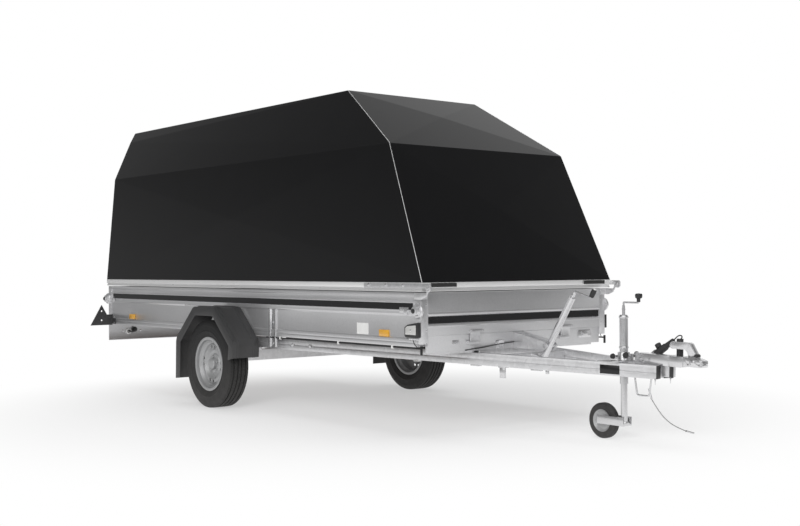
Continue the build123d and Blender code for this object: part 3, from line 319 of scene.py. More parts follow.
def dusty(tree, shader, colour, dust_colour, amount, high):
    """Mixes settled dust into a finish's colour, fading out at a height in metres."""
    dust = add_node(tree, "ShaderNodeGroup", node_tree=dust_group, Amount=amount, High=high)
    feed(tree, shader.inputs["Base Color"],
         mix(tree, "RGBA", dust.outputs["Mask"], colour, (*dust_colour, 1)))


# %% [markdown]
# Most of the trailer's metal is zinc coated, in three ways. The chassis is dipped in hot
# zinc after it is welded and has large crystals, the box is folded from sheet that is
# already coated and has tiny ones, and bolts, coupling and tubes are plated, bright and
# nearly even. The lid's rail is extruded aluminium and the safety wire is bare steel. None
# is wholly metallic, so they still show pale where they mirror a dark part of the studio.

# %% Metal finishes
metal_dust = (0.3, 0.29, 0.27)
zinc_bump, line_bump = 0.05, 0.03
line_scale = 60.0


def zinc(name, scale, tone, crystal, cloud, roughness, metallic, spread):
    """Galvanised steel: spangle, a cloudy drift and a little dust low down."""
    material, tree, shader = new_material(name, Metallic=metallic)
    look = add_node(tree, "ShaderNodeGroup", node_tree=spangle_group, Scale=scale, Tone=tone, Crystal=crystal,
                    Cloud=cloud, Roughness=roughness, Spread=spread)
    dusty(tree, shader, look.outputs["Color"], metal_dust, 0.25, 0.5)
    feed(tree, shader.inputs["Roughness"], look.outputs["Roughness"])
    add_bump(tree, shader, look.outputs["Height"], zinc_bump)
    return material


def drawn_metal(name, tone, spread, roughness, axis, metallic):
    """Metal with fine lines along one axis."""
    material, tree, shader = new_material(name, Metallic=metallic)
    scales = {"Along_X": line_scale, "Along_Y": line_scale, "Along_Z": line_scale}
    scales["Along_" + axis] = 1.0
    look = add_node(tree, "ShaderNodeGroup", node_tree=lines_group, Tone=tone, Spread=spread,
                    Roughness=roughness, **scales)
    feed(tree, shader.inputs["Base Color"], look.outputs["Color"])
    feed(tree, shader.inputs["Roughness"], look.outputs["Roughness"])
    add_bump(tree, shader, look.outputs["Height"], line_bump)
    return material


galvanised = zinc("spangled zinc", scale=55.0, tone=0.76, crystal=0.10, cloud=0.10, roughness=0.34,
                  metallic=0.8, spread=0.06)
sheet_zinc = zinc("zinc coated sheet", scale=140.0, tone=0.66, crystal=0.035, cloud=0.10, roughness=0.31,
                  metallic=0.76, spread=0.03)
bright_zinc = zinc("bright zinc plate", scale=90.0, tone=0.8, crystal=0.015, cloud=0.05, roughness=0.22,
                   metallic=0.9, spread=0.02)
steel_wire = drawn_metal("stranded steel wire", tone=0.42, spread=0.12, roughness=0.4, axis="Z", metallic=0.8)
rail_metal = drawn_metal("extruded rail", tone=0.95, spread=0.05, roughness=0.3, axis="X", metallic=0.66)
print("metals", [material.name for material in (galvanised, sheet_zinc, bright_zinc, steel_wire, rail_metal)])

# %% [markdown]
# Everything that is moulded or painted shares one recipe: a base colour that wanders a
# little lighter and darker, the grain group for gloss and bump, and dust where the piece
# is near the road. The lid's black is nearly a mirror, so its own colour hardly counts:
# what it looks like comes from the studio that it reflects.

# %% Paint, plastic and rubber finishes
colour_wander = 0.15
road_dust = (0.22, 0.21, 0.2)


def moulded(name, colour, roughness, spread, scale, bump, dust=0.0, dust_high=0.6, **plain):
    """Moulded plastic, rubber or paint with its own grain."""
    material, tree, shader = new_material(name, **plain)
    look = add_node(tree, "ShaderNodeGroup", node_tree=grain_group, Scale=scale, Roughness=roughness,
                    Spread=spread)
    darker = (*[level * (1 - colour_wander) for level in colour], 1)
    lighter = (*[min(level * (1 + colour_wander), 1) for level in colour], 1)
    shade = mix(tree, "RGBA", look.outputs["Mask"], darker, lighter)
    dusty(tree, shader, shade, road_dust, dust, dust_high)
    feed(tree, shader.inputs["Roughness"], look.outputs["Roughness"])
    add_bump(tree, shader, look.outputs["Height"], bump)
    return material


lid_black = moulded("gloss black sheet", (0.006, 0.006, 0.0065), roughness=0.09, spread=0.03, scale=900.0,
                    bump=0.006, IOR=1.45)
stripe_black = moulded("gloss black stripe", (0.008, 0.008, 0.009), roughness=0.18, spread=0.05, scale=700.0,
                       bump=0.01)
black_plastic = moulded("moulded black plastic", (0.028, 0.028, 0.029), roughness=0.5, spread=0.12,
                        scale=900.0, bump=0.12, dust=0.2)
guard_plastic = moulded("mudguard plastic", (0.036, 0.036, 0.037), roughness=0.46, spread=0.12, scale=700.0,
                        bump=0.15, dust=0.25)
tyre_rubber = moulded("tyre rubber", (0.01, 0.01, 0.0104), roughness=0.68, spread=0.12, scale=400.0, bump=0.2,
                      dust=0.3, dust_high=0.5)
cable_rubber = moulded("cable sheath", (0.015, 0.015, 0.016), roughness=0.4, spread=0.1, scale=900.0,
                       bump=0.08)
grip_rubber = moulded("moulded rubber", (0.02, 0.02, 0.02), roughness=0.6, spread=0.1, scale=600.0, bump=0.2)
plywood = moulded("coated plywood", (0.07, 0.04, 0.025), roughness=0.5, spread=0.1, scale=350.0, bump=0.3)
white_plastic = moulded("white plastic", (0.75, 0.75, 0.74), roughness=0.35, spread=0.08, scale=700.0,
                        bump=0.02)
wheel_paint = moulded("silver wheel paint", (0.43, 0.434, 0.438), roughness=0.36, spread=0.06, scale=1400.0,
                      bump=0.05, dust=0.25, dust_high=0.5, Metallic=0.5)
print("materials so far", len(bpy.data.materials))

# %% [markdown]
# A reflector is clear plastic over hundreds of small prisms. The prisms are bump here: a
# fine chequer of cells under a smooth coat catches light the same way, and costs nothing.

# %% Lens finishes
prism_scale, prism_bump, prism_shade = 330.0, 0.35, 0.55


def lens(name, colour):
    """Coloured plastic with prisms under a clear coat."""
    material, tree, shader = new_material(name, Coat_Weight=1.0, Coat_Roughness=0.03, Roughness=0.12)
    place = add_node(tree, "ShaderNodeTexCoord").outputs["Object"]
    prisms = add_node(tree, "ShaderNodeTexVoronoi", feature="F1", distance="CHEBYCHEV", Vector=place,
                      Scale=prism_scale, Randomness=0.0).outputs["Distance"]
    shaded = (*[level * prism_shade for level in colour], 1)
    feed(tree, shader.inputs["Base Color"], mix(tree, "RGBA", prisms, (*colour, 1), shaded))
    add_bump(tree, shader, prisms, prism_bump)
    return material


amber_lens = lens("amber reflector", (0.82, 0.42, 0.04))
red_lens = lens("red lens", (0.42, 0.012, 0.012))
clear_lens = lens("clear lens", (0.62, 0.62, 0.605))
print("materials in all", len(bpy.data.materials))

# %% [markdown]
# Cords, leads and bent bars are all one thing in Blender: a curve with a round bevel. A
# NURBS spline passes smoothly near its control points and through its two ends, so few
# points are enough, and Fill Caps closes the cut ends.

# %% Smooth lines
all_bodies = {node: body for body, nodes in frame["record"]["behaviour"]["bodies"].items() for node in nodes}
all_slots = {row["node"]: row["material_slot"] for row in frame["record"]["subparts"]}
made = []


def smooth_line(name, places, radius):
    """A NURBS curve of one spline through the neighbourhood of its places, with a round section."""
    data = bpy.data.curves.new(name, "CURVE")
    data.dimensions = "3D"
    data.bevel_depth = radius / 1000
    data.bevel_resolution = 5
    data.use_fill_caps = True
    spline = data.splines.new("NURBS")
    spline.points.add(len(places) - 1)
    for point, place in zip(spline.points, places):
        point.co = (*at(*place), 1)
    spline.order_u = 3
    spline.use_endpoint_u = True
    spline.resolution_u = 12
    return data


# %% [markdown]
# The free cords come before the other pieces. A steel safety wire hangs from a bent rod
# under the drawbar, and the plug's lead loops over into its sleeve. Each is one curve whose
# control points are given, with a fixed thickness.

# %% Cords
wire_places = [(2976, -57, 228), (2991, -31, 177), (3014, 4, 123), (3045, 50, 82), (3070, 100, 60)]
lead_places = [(3033.9, 52, 524.6), (3054, 49, 542), (3076, 44, 552), (3094, 39, 550), (3098, 36, 541),
               (3093.1, 34, 534.3)]
wire_thickness, wire_length = 5, 255
lead_thickness, lead_length = 6, 87


def cord(name, places, diameter, length, material, node):
    """A free cord in place of its plain node."""
    curve = bpy.data.objects.new(name, smooth_line(name, places, diameter / 2))
    bpy.context.scene.collection.objects.link(curve)
    curve.data.materials.append(material)
    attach(curve, "chassis")
    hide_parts(node)
    at(*places[0])
    made.append(name)


cord("safety_wire", wire_places, wire_thickness, wire_length, steel_wire, "breakaway_wire")
cord("plug_cable", lead_places, lead_thickness, lead_length, cable_rubber, "plug_lead")
print("cords", made)

# %% [markdown]
# Every other new piece is a mesh, shaped with bmesh operators, the code twins of the tools
# in Edit Mode. A piece may be made of several shapes, joined into one mesh. Its object
# stays at the origin, because the place is in the mesh, and it rides on a body of the
# frame. Faces are smooth where they meet at less than an angle, and real edges stay crisp.

# %% Piece helpers


def flat_list(shapes):
    """The bmeshes of a nested list, in order."""
    for item in shapes:
        if isinstance(item, (list, tuple)):
            yield from flat_list(item)
        else:
            yield item


def piece(name, shapes, material, body, slot, replaces=(), angle=35):
    """Joins shapes into one object that rides on a body."""
    mesh = bpy.data.meshes.new(name)
    whole = bmesh.new()
    for shape in flat_list(shapes):
        shape.to_mesh(mesh)
        whole.from_mesh(mesh)
        shape.free()
    whole.to_mesh(mesh)
    whole.free()
    mesh.polygons.foreach_set("use_smooth", [True] * len(mesh.polygons))
    mesh.set_sharp_from_angle(angle=math.radians(angle))
    mesh.materials.append(material)
    thing = bpy.data.objects.new(name, mesh)
    bpy.context.scene.collection.objects.link(thing)
    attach(thing, body)
    if replaces:
        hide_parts(*replaces)
    made.append(name)
    return thing


# %% [markdown]
# The lid is a shell of thin gloss black sheet, folded like a cut gem. Each flat panel is
# cross broken: pressed along its diagonals, so that its middle stands a few millimetres
# proud and the sheet doesn't drum. One rectangle is extruded twice, its corners are pulled
# in at the shoulders and the roof, and Poke gives each panel its four facets.

# %% Lid shell
lid_panels = ("lid_side_right", "lid_side_left", "lid_front", "lid_hood", "lid_roof", "lid_rear",
              "lid_chamfers")
side_low, side_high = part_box("lid_side_right")
hood_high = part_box("lid_hood")[1]
roof_low, roof_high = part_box("lid_roof")
shoulder_low, shoulder_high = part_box("lid_chamfers")
lid_levels = [(side_low.z, -side_low.y, side_low.x, side_high.x),
              (shoulder_low.z, hood_high.y, shoulder_low.x, hood_high.x),
              (shoulder_high.z, roof_high.y, roof_low.x, roof_high.x)]
same_level = 0.001


def place_ring(verts, level):
    """Moves four corners to one level of the lid."""
    height, half, rear, front = level
    for vert in verts:
        vert.co = (front if vert.co.x > 0 else rear, math.copysign(half, vert.co.y), height)


lid = bmesh.new()
bmesh.ops.create_grid(lid, x_segments=1, y_segments=1, size=0.5)
place_ring(lid.verts, lid_levels[0])
top_face = lid.faces[:]
for level in lid_levels[1:]:
    grown = bmesh.ops.extrude_face_region(lid, geom=top_face)["geom"]
    place_ring([item for item in grown if isinstance(item, bmesh.types.BMVert)], level)
    top_face = [item for item in grown if isinstance(item, bmesh.types.BMFace)]
floor_z = lid_levels[0][0] + same_level
under = [face for face in lid.faces if all(vert.co.z < floor_z for vert in face.verts)]
bmesh.ops.delete(lid, geom=under, context="FACES_ONLY")
print("lid corners", len(lid.verts), "panels", len(lid.faces))

# %% [markdown]
# Extrude lists the new corners and edges in an order that changes from run to run. That
# doesn't matter to the panels, but a bevel shapes the corners where seams meet by that
# order. So the same faces are built once more, sorted by the places of their corners.

# %% Lid in a fixed order


def in_fixed_order(shape):
    """The same faces in a new bmesh, sorted by the places of their corners."""
    corners = sorted(shape.verts, key=lambda vert: tuple(vert.co))
    rank = {vert: index for index, vert in enumerate(corners)}
    rings = []
    for face in shape.faces:
        ring = [rank[vert] for vert in face.verts]
        start = ring.index(min(ring))
        rings.append(ring[start:] + ring[:start])
    ordered = bmesh.new()
    verts = [ordered.verts.new(vert.co) for vert in corners]
    for ring in sorted(rings):
        ordered.faces.new([verts[index] for index in ring])
    shape.free()
    return ordered


lid = in_fixed_order(lid)
print("lid faces in order", len(lid.faces))

# %% [markdown]
# The shoulder panels aren't flat: near the back they turn in over a short fold. Each gets
# one more corner on its rear edge, and Connect Verts folds the panel along two lines.

# %% Shoulder folds
knee_z, roof_z = lid_levels[1][0], lid_levels[2][0]
lid_fold_share = 0.79
lid_fold_set = Vector((-0.004, 0.005, 0.003))
longest_upright = 0.6


def is_rear(edge):
    """Whether an edge lies at the back of the lid."""
    return all(vert.co.x < 0 for vert in edge.verts)


upright = [edge for edge in lid.edges if is_rear(edge) and edge.calc_length() < longest_upright
           and all(vert.co.z > knee_z - same_level for vert in edge.verts)]
rear_cross = [edge for edge in lid.edges if is_rear(edge)
              and all(abs(vert.co.z - knee_z) < same_level for vert in edge.verts)]
bmesh.ops.dissolve_edges(lid, edges=rear_cross, use_verts=False)
grown = bmesh.ops.subdivide_edges(lid, edges=upright, cuts=1)["geom_inner"]
folds = [item for item in grown if isinstance(item, bmesh.types.BMVert)]
for fold in folds:
    side = math.copysign(1, fold.co.y)
    knee = Vector((0, side * lid_levels[1][1], knee_z))
    top = Vector((0, side * lid_levels[2][1], roof_z))
    spot = knee + (top - knee) * lid_fold_share
    fold.co = (lid_levels[2][2] + lid_fold_set.x, spot.y + side * lid_fold_set.y, spot.z + lid_fold_set.z)
seams = [edge for edge in lid.edges if len(edge.link_faces) == 2]
for fold in folds:
    same_side = [vert for vert in lid.verts if vert.co.x > 0 and vert.co.y * fold.co.y > 0
                 and vert.co.z > knee_z - same_level]
    for corner in sorted(same_side, key=lambda vert: vert.co.z):
        bmesh.ops.connect_verts(lid, verts=[corner, fold])
print("folds", len(folds), "seams", len(seams))

# %% [markdown]
# Poke puts a corner in the middle of a panel, where its diagonals cross, and moving it
# outwards by a few millimetres makes the cross break. The seams between the panels get a
# narrow round bevel, as a bent sheet has. Solidify then gives the sheet its thickness
# inwards. The open lower edge is marked sharp, or the wall's turn would tint the panels.

# %% Cross breaking
crown_heights = {"side": 0.007, "front": 0.012, "hood": 0.010, "roof": 0.008, "rear": 0.003}
straight_on, level_enough, steep_front = 0.9, 0.99, 0.8
seam_width = 0.0045
facet_angle = 0.3
lid_thickness = 0.005


def panel_kind(normal):
    """Which panel a face belongs to, from the way that it faces."""
    if abs(normal.y) > straight_on:
        return "side"
    if normal.x < -straight_on:
        return "rear"
    if normal.z > level_enough:
        return "roof"
    return "front" if normal.x > steep_front else "hood"


for face in [face for face in lid.faces if len(face.verts) > 3]:
    spots = [vert.co.copy() for vert in face.verts]
    normal = face.normal.copy()
    middle = sum(spots, Vector()) / len(spots)
    if len(spots) == 4:
        middle = intersect_line_line(spots[0], spots[2], spots[1], spots[3])[0]
    peak = bmesh.ops.poke(lid, faces=[face])["verts"][0]
    peak.co = middle + normal * crown_heights[panel_kind(normal)]
bmesh.ops.recalc_face_normals(lid, faces=lid.faces)
bmesh.ops.bevel(lid, geom=seams, offset=seam_width, offset_type="OFFSET", segments=3, profile=0.5,
                affect="EDGES", clamp_overlap=True, material=-1)
lid_shell = piece("lid_shell", [lid], lid_black, "lid", "lid_black", lid_panels, angle=facet_angle)
for edge in lid_shell.data.edges:
    ends = [lid_shell.data.vertices[index].co.z for index in edge.vertices]
    edge.use_edge_sharp = edge.use_edge_sharp or max(ends) < side_low.z + same_level
wall = lid_shell.modifiers.new("sheet", "SOLIDIFY")
wall.thickness = lid_thickness
wall.offset = -1
print("lid facets", len(lid_shell.data.polygons))

# %% [markdown]
# Along the front corners runs a thin pale rod, a painted highlight: it stands for the bright
# line that light draws on the rounded seams, outlining the lid against its own black panels.
# It follows the same corners as the shell.

# %% Painted highlight on the front corners
highlight_bead_radius = 1.7
highlight_bead_sink = Vector((0.001, 0.001, 0.0008))
corner_places = [(front, half, height) for height, half, rear, front in lid_levels]


def highlight_bead(side):
    """Two straight runs along the front corners of one side, made into rods."""
    runs = []
    for first, last in zip(corner_places, corner_places[1:]):
        ends = [Vector((x - highlight_bead_sink.x, side * (half - highlight_bead_sink.y), z - highlight_bead_sink.z))
                for x, half, z in (first, last)]
        middle, run = sum(ends, Vector()) / 2, ends[1] - ends[0]
        shape = bmesh.new()
        bmesh.ops.create_cone(shape, cap_ends=True, segments=12, radius1=highlight_bead_radius / 1000,
                              radius2=highlight_bead_radius / 1000, depth=run.length)
        spin = run.to_track_quat("Z", "Y").to_matrix().to_4x4()
        bmesh.ops.transform(shape, matrix=Matrix.Translation(middle) @ spin, verts=shape.verts)
        runs.append(shape)
    return runs


# The pale rods are a painted highlight along the lid's front seams.
piece("lid_highlight_beads", [highlight_bead(side) for side in (-1, 1)], rail_metal, "lid", "aluminium")
print("beads along", len(corner_places), "corners")

# %% [markdown]
# Round the lid's lower edge runs an aluminium rail with a groove along it. Its section is
# drawn once as pairs of inset and height. Each pair becomes a rectangle of four edges, and
# Bridge Edge Loops joins each rectangle to the next one, so the corners mitre themselves.

# %% Lid rail
rail_section = [(3, 0), (2, 2), (5.5, 17), (5.5, 20), (0.5, 21), (0, 22), (0, 48), (2, 50), (38, 50),
                (40, 48), (40, 2), (38, 0)]


def frame_ring(node, section):
    """A mitred ring of one section, given as (inset, height) from a node's lower outer edge."""
    low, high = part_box(node)
    ring = bmesh.new()
    loops = []
    for inset, height in section:
        inset, z = inset / 1000, low.z + height / 1000
        corners = [(low.x + inset, low.y + inset), (high.x - inset, low.y + inset),
                   (high.x - inset, high.y - inset), (low.x + inset, high.y - inset)]
        verts = [ring.verts.new((x, y, z)) for x, y in corners]
        loops.append([ring.edges.new(pair) for pair in zip(verts, verts[1:] + verts[:1])])
    for first, second in zip(loops, loops[1:] + loops[:1]):
        bmesh.ops.bridge_loops(ring, edges=first + second)
    bmesh.ops.recalc_face_normals(ring, faces=ring.faces)
    return ring


piece("lid_rail", [frame_ring("lid_frame", rail_section)], rail_metal, "lid", "aluminium", ("lid_frame",))
print("rail section of", len(rail_section), "corners")

# %% [markdown]
# Real edges are never perfectly sharp, and the narrow highlight on a bevel is what makes a
# part look made. One helper bevels whatever edge is sharper than an angle. The other spins
# a profile round an axis: Spin with merging closes the ring, and doubles on the axis are
# merged before the normals are made to point outwards.

# %% Bevels and round bodies


def soften(shape, width, segments=2, angle=30):
    """Bevels every edge that is sharper than an angle by a width in millimetres."""
    sharp = [edge for edge in shape.edges
             if len(edge.link_faces) == 2 and edge.calc_face_angle() > math.radians(angle)]
    if sharp and width > 0:
        bmesh.ops.bevel(shape, geom=sharp, offset=width / 1000, offset_type="OFFSET", segments=segments,
                        profile=0.5, affect="EDGES", clamp_overlap=True, material=-1)
    return shape


def turned(points, centre, axis, steps=48, closed=False, edge=0.0):
    """A round body: points of (distance along the axis, radius), turned about the axis."""
    shape = bmesh.new()
    axis = Vector(axis).normalized()
    side = axis.orthogonal().normalized()
    middle = at(*centre)
    verts = [shape.verts.new(middle + (axis * along + side * radius) / 1000) for along, radius in points]
    pairs = list(zip(verts, verts[1:])) + ([(verts[-1], verts[0])] if closed else [])
    edges = [shape.edges.new(pair) for pair in pairs]
    bmesh.ops.spin(shape, geom=verts + edges, cent=middle, axis=axis, dvec=(0, 0, 0),
                   angle=2 * math.pi, steps=steps, use_merge=True, use_duplicate=False)
    bmesh.ops.remove_doubles(shape, verts=shape.verts, dist=1e-6)
    bmesh.ops.recalc_face_normals(shape, faces=shape.faces)
    return soften(shape, edge)


# %% [markdown]
# A tyre is a body of revolution, so half of its section is drawn, mirrored and spun. The
# ribs of the tread are spun a little low. Then every rib face is inset and raised at once
# with Inset Individual, which leaves a narrow groove round each block.

# %% Tyres
tyre_low, tyre_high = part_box("tyre_right")
tyre_radius = (tyre_high.z - tyre_low.z) * 500
tyre_centre_y = (tyre_low.y + tyre_high.y) * 500
block_height, block_gap, block_rise = 4.0, 1.4, 3.7
groove_depth = 7.5
rib_radius, groove_radius = tyre_radius - block_height, tyre_radius - groove_depth
tread_radius = rib_radius - 1.3
tread_pitches = 96
half_section = [(51, 164.2), (54, 164.6), (57, 171), (60.5, 180), (67, 190), (73.5, 203), (76.5, 212),
                (78.2, 214), (78.4, 218), (77.2, 220), (78.3, 230), (77.8, 244), (76.6, 252), (77.2, 254),
                (76.4, 258), (75.0, 266), (72.5, 274), (69.5, 279.5), (66, rib_radius - 1.5),
                (47, rib_radius), (46, groove_radius), (40, groove_radius), (39, rib_radius),
                (17, rib_radius), (16, groove_radius), (10, groove_radius), (9, rib_radius)]


def tyre(side):
    """One tyre, with raised blocks on its ribs."""
    section = half_section + [(-along, radius) for along, radius in reversed(half_section)]
    hub = (0, side * abs(tyre_centre_y), axle_height)
    shape = turned(section, hub, (0, side, 0), tread_pitches, closed=True)
    tread = []
    for face in shape.faces:
        spoke = face.calc_center_median() - axle
        spoke.y = 0
        if spoke.length * 1000 > tread_radius and face.normal.dot(spoke.normalized()) > 0.97:
            tread.append(face)
    bmesh.ops.inset_individual(shape, faces=tread, thickness=block_gap / 1000, depth=block_rise / 1000)
    return shape


for name, side in (("right", -1), ("left", 1)):
    piece("tyre_" + name + "_fine", [tyre(side)], tyre_rubber, "wheel_" + name, "tyre_rubber",
          ("tyre_" + name,), angle=40)
print("tyres", made[-2:], "of radius", round(tyre_radius, 1), "mm")

# %% [markdown]
# The rims come from the frame with their holes cut, as loose triangles. A copy is merged,
# and Limited Dissolve joins the triangles of each flat face, so that only real edges are
# left to bevel. The copy keeps the body of the node that it stands for.

# %% Refined copies
merge_distance = 2e-5
flat_angle = 0.5


def node_shape(node):
    """A merged copy of a node's mesh, with the triangles of each flat face joined."""
    shape = bmesh.new()
    shape.from_mesh(frame["nodes"][node].data)
    bmesh.ops.remove_doubles(shape, verts=shape.verts, dist=merge_distance)
    bmesh.ops.dissolve_limit(shape, angle_limit=math.radians(flat_angle), use_dissolve_boundaries=False,
                             verts=shape.verts, edges=shape.edges, delimit=set())
    return shape


def refined(node, width, material, extra=(), segments=2, angle=30):
    """A copy of a node with bevelled edges and whatever is added to it, in the node's place."""
    shape = soften(node_shape(node), width, segments, angle)
    return piece(node + "_fine", [shape, *extra], material, all_bodies[node], all_slots[node], (node,))


# %% [markdown]
# Each wheel is held by five bolts on a ring, hexagons that stand on cones, and has a
# valve that leans outwards. All of them are short cylinders or cones that point along
# an axis: Blender's cone has two radii, so one helper makes them all.

# %% Rims
bolt_ring, bolt_count = 49, 5
bolt_seat_y = 20.4
valve_drop, valve_y = 136, 30


def disc(place, axis, radius, height, sides=32, edge=0.8, far_radius=None):
    """A short cylinder, cone or hexagon that stands on a place and points along an axis."""
    shape = bmesh.new()
    bmesh.ops.create_cone(shape, cap_ends=True, segments=sides, radius1=radius / 1000,
                          radius2=(radius if far_radius is None else far_radius) / 1000, depth=height / 1000)
    axis = Vector(axis).normalized()
    spin = axis.to_track_quat("Z", "Y").to_matrix().to_4x4()
    bmesh.ops.transform(shape, matrix=Matrix.Translation(at(*place) + axis * height / 2000) @ spin,
                        verts=shape.verts)
    return soften(shape, edge)


def rim_details(side):
    """The wheel bolts with their seats, and the valve."""
    centre_y = side * abs(tyre_centre_y)
    seat_y = centre_y + side * bolt_seat_y
    out = (0, side, 0)
    shapes = []
    for index in range(bolt_count):
        angle = math.radians(90 + 360 / bolt_count * index)
        x, z = bolt_ring * math.cos(angle), axle_height + bolt_ring * math.sin(angle)
        shapes.append(disc((x, seat_y, z), out, 12.5, 3, 32, 1.0, 10))
        shapes.append(disc((x, seat_y + side * 2, z), out, 8.5, 11, 6, 1.2))
    valve = (0, centre_y + side * valve_y, axle_height - valve_drop)
    shapes.append(disc(valve, (0, side, 0.25), 4.5, 26, 16, 1.0, 3.2))
    return shapes


for name, side in (("right", -1), ("left", 1)):
    refined("rim_" + name, 1.2, wheel_paint, rim_details(side), angle=24)
print("rims", made[-2:])

# %% [markdown]
# Straps, plates and heads are built up from a few simple solids: a block between two
# corners, and a flat outline that is extruded. A bolt is a hexagon on its washer, and a
# rivet a small dome. A bent lead is the same smooth line as the cords, turned into a mesh.

# %% Blocks, prisms and bent rods


def box(low, high, edge=1.5, segments=2):
    """A block between two corners."""
    shape = bmesh.new()
    bmesh.ops.create_cube(shape, size=1)
    first, second = at(*low), at(*high)
    size = [abs(b - a) for a, b in zip(first, second)]
    bmesh.ops.scale(shape, vec=size, verts=shape.verts)
    bmesh.ops.translate(shape, vec=(first + second) / 2, verts=shape.verts)
    return soften(shape, edge, segments)


def prism(outline, reach, edge=1.0, segments=2):
    """A flat outline of places, extruded by a vector in millimetres."""
    shape = bmesh.new()
    face = shape.faces.new([shape.verts.new(at(*place)) for place in outline])
    grown = bmesh.ops.extrude_face_region(shape, geom=[face])
    moved = [item for item in grown["geom"] if isinstance(item, bmesh.types.BMVert)]
    bmesh.ops.translate(shape, vec=Vector(reach) / 1000, verts=moved)
    bmesh.ops.recalc_face_normals(shape, faces=shape.faces)
    return soften(shape, edge, segments)


def rod(places, radius):
    """A bent bar or a lead that is part of the object, as a mesh."""
    data = smooth_line("rod", places, radius)
    curve = bpy.data.objects.new("rod", data)
    mesh = bpy.data.meshes.new_from_object(curve)
    shape = bmesh.new()
    shape.from_mesh(mesh)
    bpy.data.objects.remove(curve)
    bpy.data.meshes.remove(mesh)
    bpy.data.curves.remove(data)
    bmesh.ops.remove_doubles(shape, verts=shape.verts, dist=1e-6)
    bmesh.ops.recalc_face_normals(shape, faces=shape.faces)
    return shape


def bolt(place, axis, size=6.0, height=5.0):
    """A hexagon head of that radius on its washer."""
    axis = Vector(axis).normalized()
    head_place = Vector(place) + axis * 1.5
    return [disc(place, axis, size * 1.45, 1.6, 24, 0.4), disc(head_place, axis, size, height, 6, 0.6)]


def rivet(place, axis, radius=4.0):
    """A domed rivet head."""
    return [disc(place, axis, radius, radius * 0.55, 16, radius * 0.3, radius * 0.6)]


# %% [markdown]
# The box carries many small fittings: lamps, rivets and a folded strap that ties each side
# to the chassis. They are placed by the wall's planes, and each side is the other one's
# mirror image: only the sign of Y changes, so one function makes both.

# %% Metal fittings of the long sides
both_sides = (-1, 1)
wall_y, sheet_y, strap_y = 740, 734, 730
post_rivet_x, post_rivet_z = (-1861, 1951), (500, 560, 735)
latch_rivet_x, latch_rivet_z = -1539, (574, 601)
strap_legs, strap_width, strap_low, strap_high = (467, 532), 13, 402, 646
strap_bolt_x, strap_bolt_z = 506, (425, 560)
strike_low, strike_high, strike_rivet_x = (1790, 655), (1866, 686), (1802, 1822)


def side_metal(side):
    """Rivets, the folded strap, the lamp's foot and the latch's strike plate on one side."""
    out = (0, side, 0)
    shapes = [rivet((latch_rivet_x, side * sheet_y, z), out) for z in latch_rivet_z]
    shapes += [rivet((x, side * wall_y, z), out, 4.5) for x in post_rivet_x for z in post_rivet_z]
    for start in strap_legs:
        end = start + strap_width
        shapes.append(box((start, side * strap_y, strap_low), (end, side * 744, strap_high), 1.2))
    shapes.append(box((479, side * strap_y, strap_low), (533, side * 737, strap_high), 0.8))
    shapes += [bolt((strap_bolt_x, side * 737, z), out, 6, 4) for z in strap_bolt_z]
    shapes.append(box((1882, side * wall_y, 509), (1950, side * 752, 523), 1.2))
    strike = [(x, side * y, z) for (x, z), y in ((strike_low, 737), (strike_high, 742))]
    shapes.append(box(*strike, 1.2))
    shapes += [rivet((x, side * 742, 671), out, 4) for x in strike_rivet_x]
    shapes.append(box((-640, side * 737, 640), (-250, side * 741, 647), 0.8))
    return shapes


piece("side_fittings", [side_metal(side) for side in both_sides], bright_zinc, "box", "zinc_plated")
print("side metal", made[-1], "with", len(post_rivet_x) * len(post_rivet_z), "post rivets a side")

# %% [markdown]
# A dark lead runs under each sill and feeds the front lamp. It is held by white cable
# ties and ends in a cap at the corner. The lead sags a millimetre between its ties, which
# is enough to keep it from looking drawn with a ruler.

# %% Leads and ties of the long sides
sill_lead = [(430, 462), (900, 463), (1400, 462), (1973, 464)]
lamp_lead = [(1915, 748, 512), (1922, 751, 495), (1938, 747, 476), (1948, 738, 464)]
sill_lead_y, sill_lead_radius, lamp_lead_radius = 738, 4.5, 2.4
tie_places, tie_half = (594, 1215, 1724), 6


def side_rubber(side):
    """The dark lead under the sill, the lamp's lead and the cap at the corner."""
    return [rod([(x, side * sill_lead_y, z) for x, z in sill_lead], sill_lead_radius),
            rod([(x, side * y, z) for x, y, z in lamp_lead], lamp_lead_radius),
            box((1969, side * 745, 429), (1979, side * 733, 478), 2)]


def side_ties(side):
    """White ties that hold the dark lead."""
    return [box((x - tie_half, side * 745, 453), (x + tie_half, side * 731, 472), 2) for x in tie_places]


piece("side_leads", [side_rubber(side) for side in both_sides], cable_rubber, "box", "cable_rubber")
piece("side_ties", [side_ties(side) for side in both_sides], white_plastic, "box", "black_plastic")
print("leads and ties", made[-2:])

# %% [markdown]
# The front marker lamp is a black moulding with a clear window, a five-sided plate with
# round edges that stands a little proud. One screw holds it. The latches turn on round
# pads, and a white label is stuck on the near side: here it stays blank.

# %% Lamp windows, latch pads and label
lamp_face_y = 766
window_outline = [(1870, 538), (1958, 538), (1958, 591), (1890, 586), (1870, 576)]
lamp_screw_x, lamp_screw_z = 1914, 562
latch_pad_x, latch_pad_y, latch_pad_z = (-1879, 1955), 779, 668
label_low, label_high = (1392, -735.5, 522), (1500, -733, 587)


def lamp_lens(side):
    """The clear window of the front marker lamp."""
    return [prism([(x, side * (lamp_face_y - 4), z) for x, z in window_outline], (0, side * 5.5, 0), 2.0, 3)]


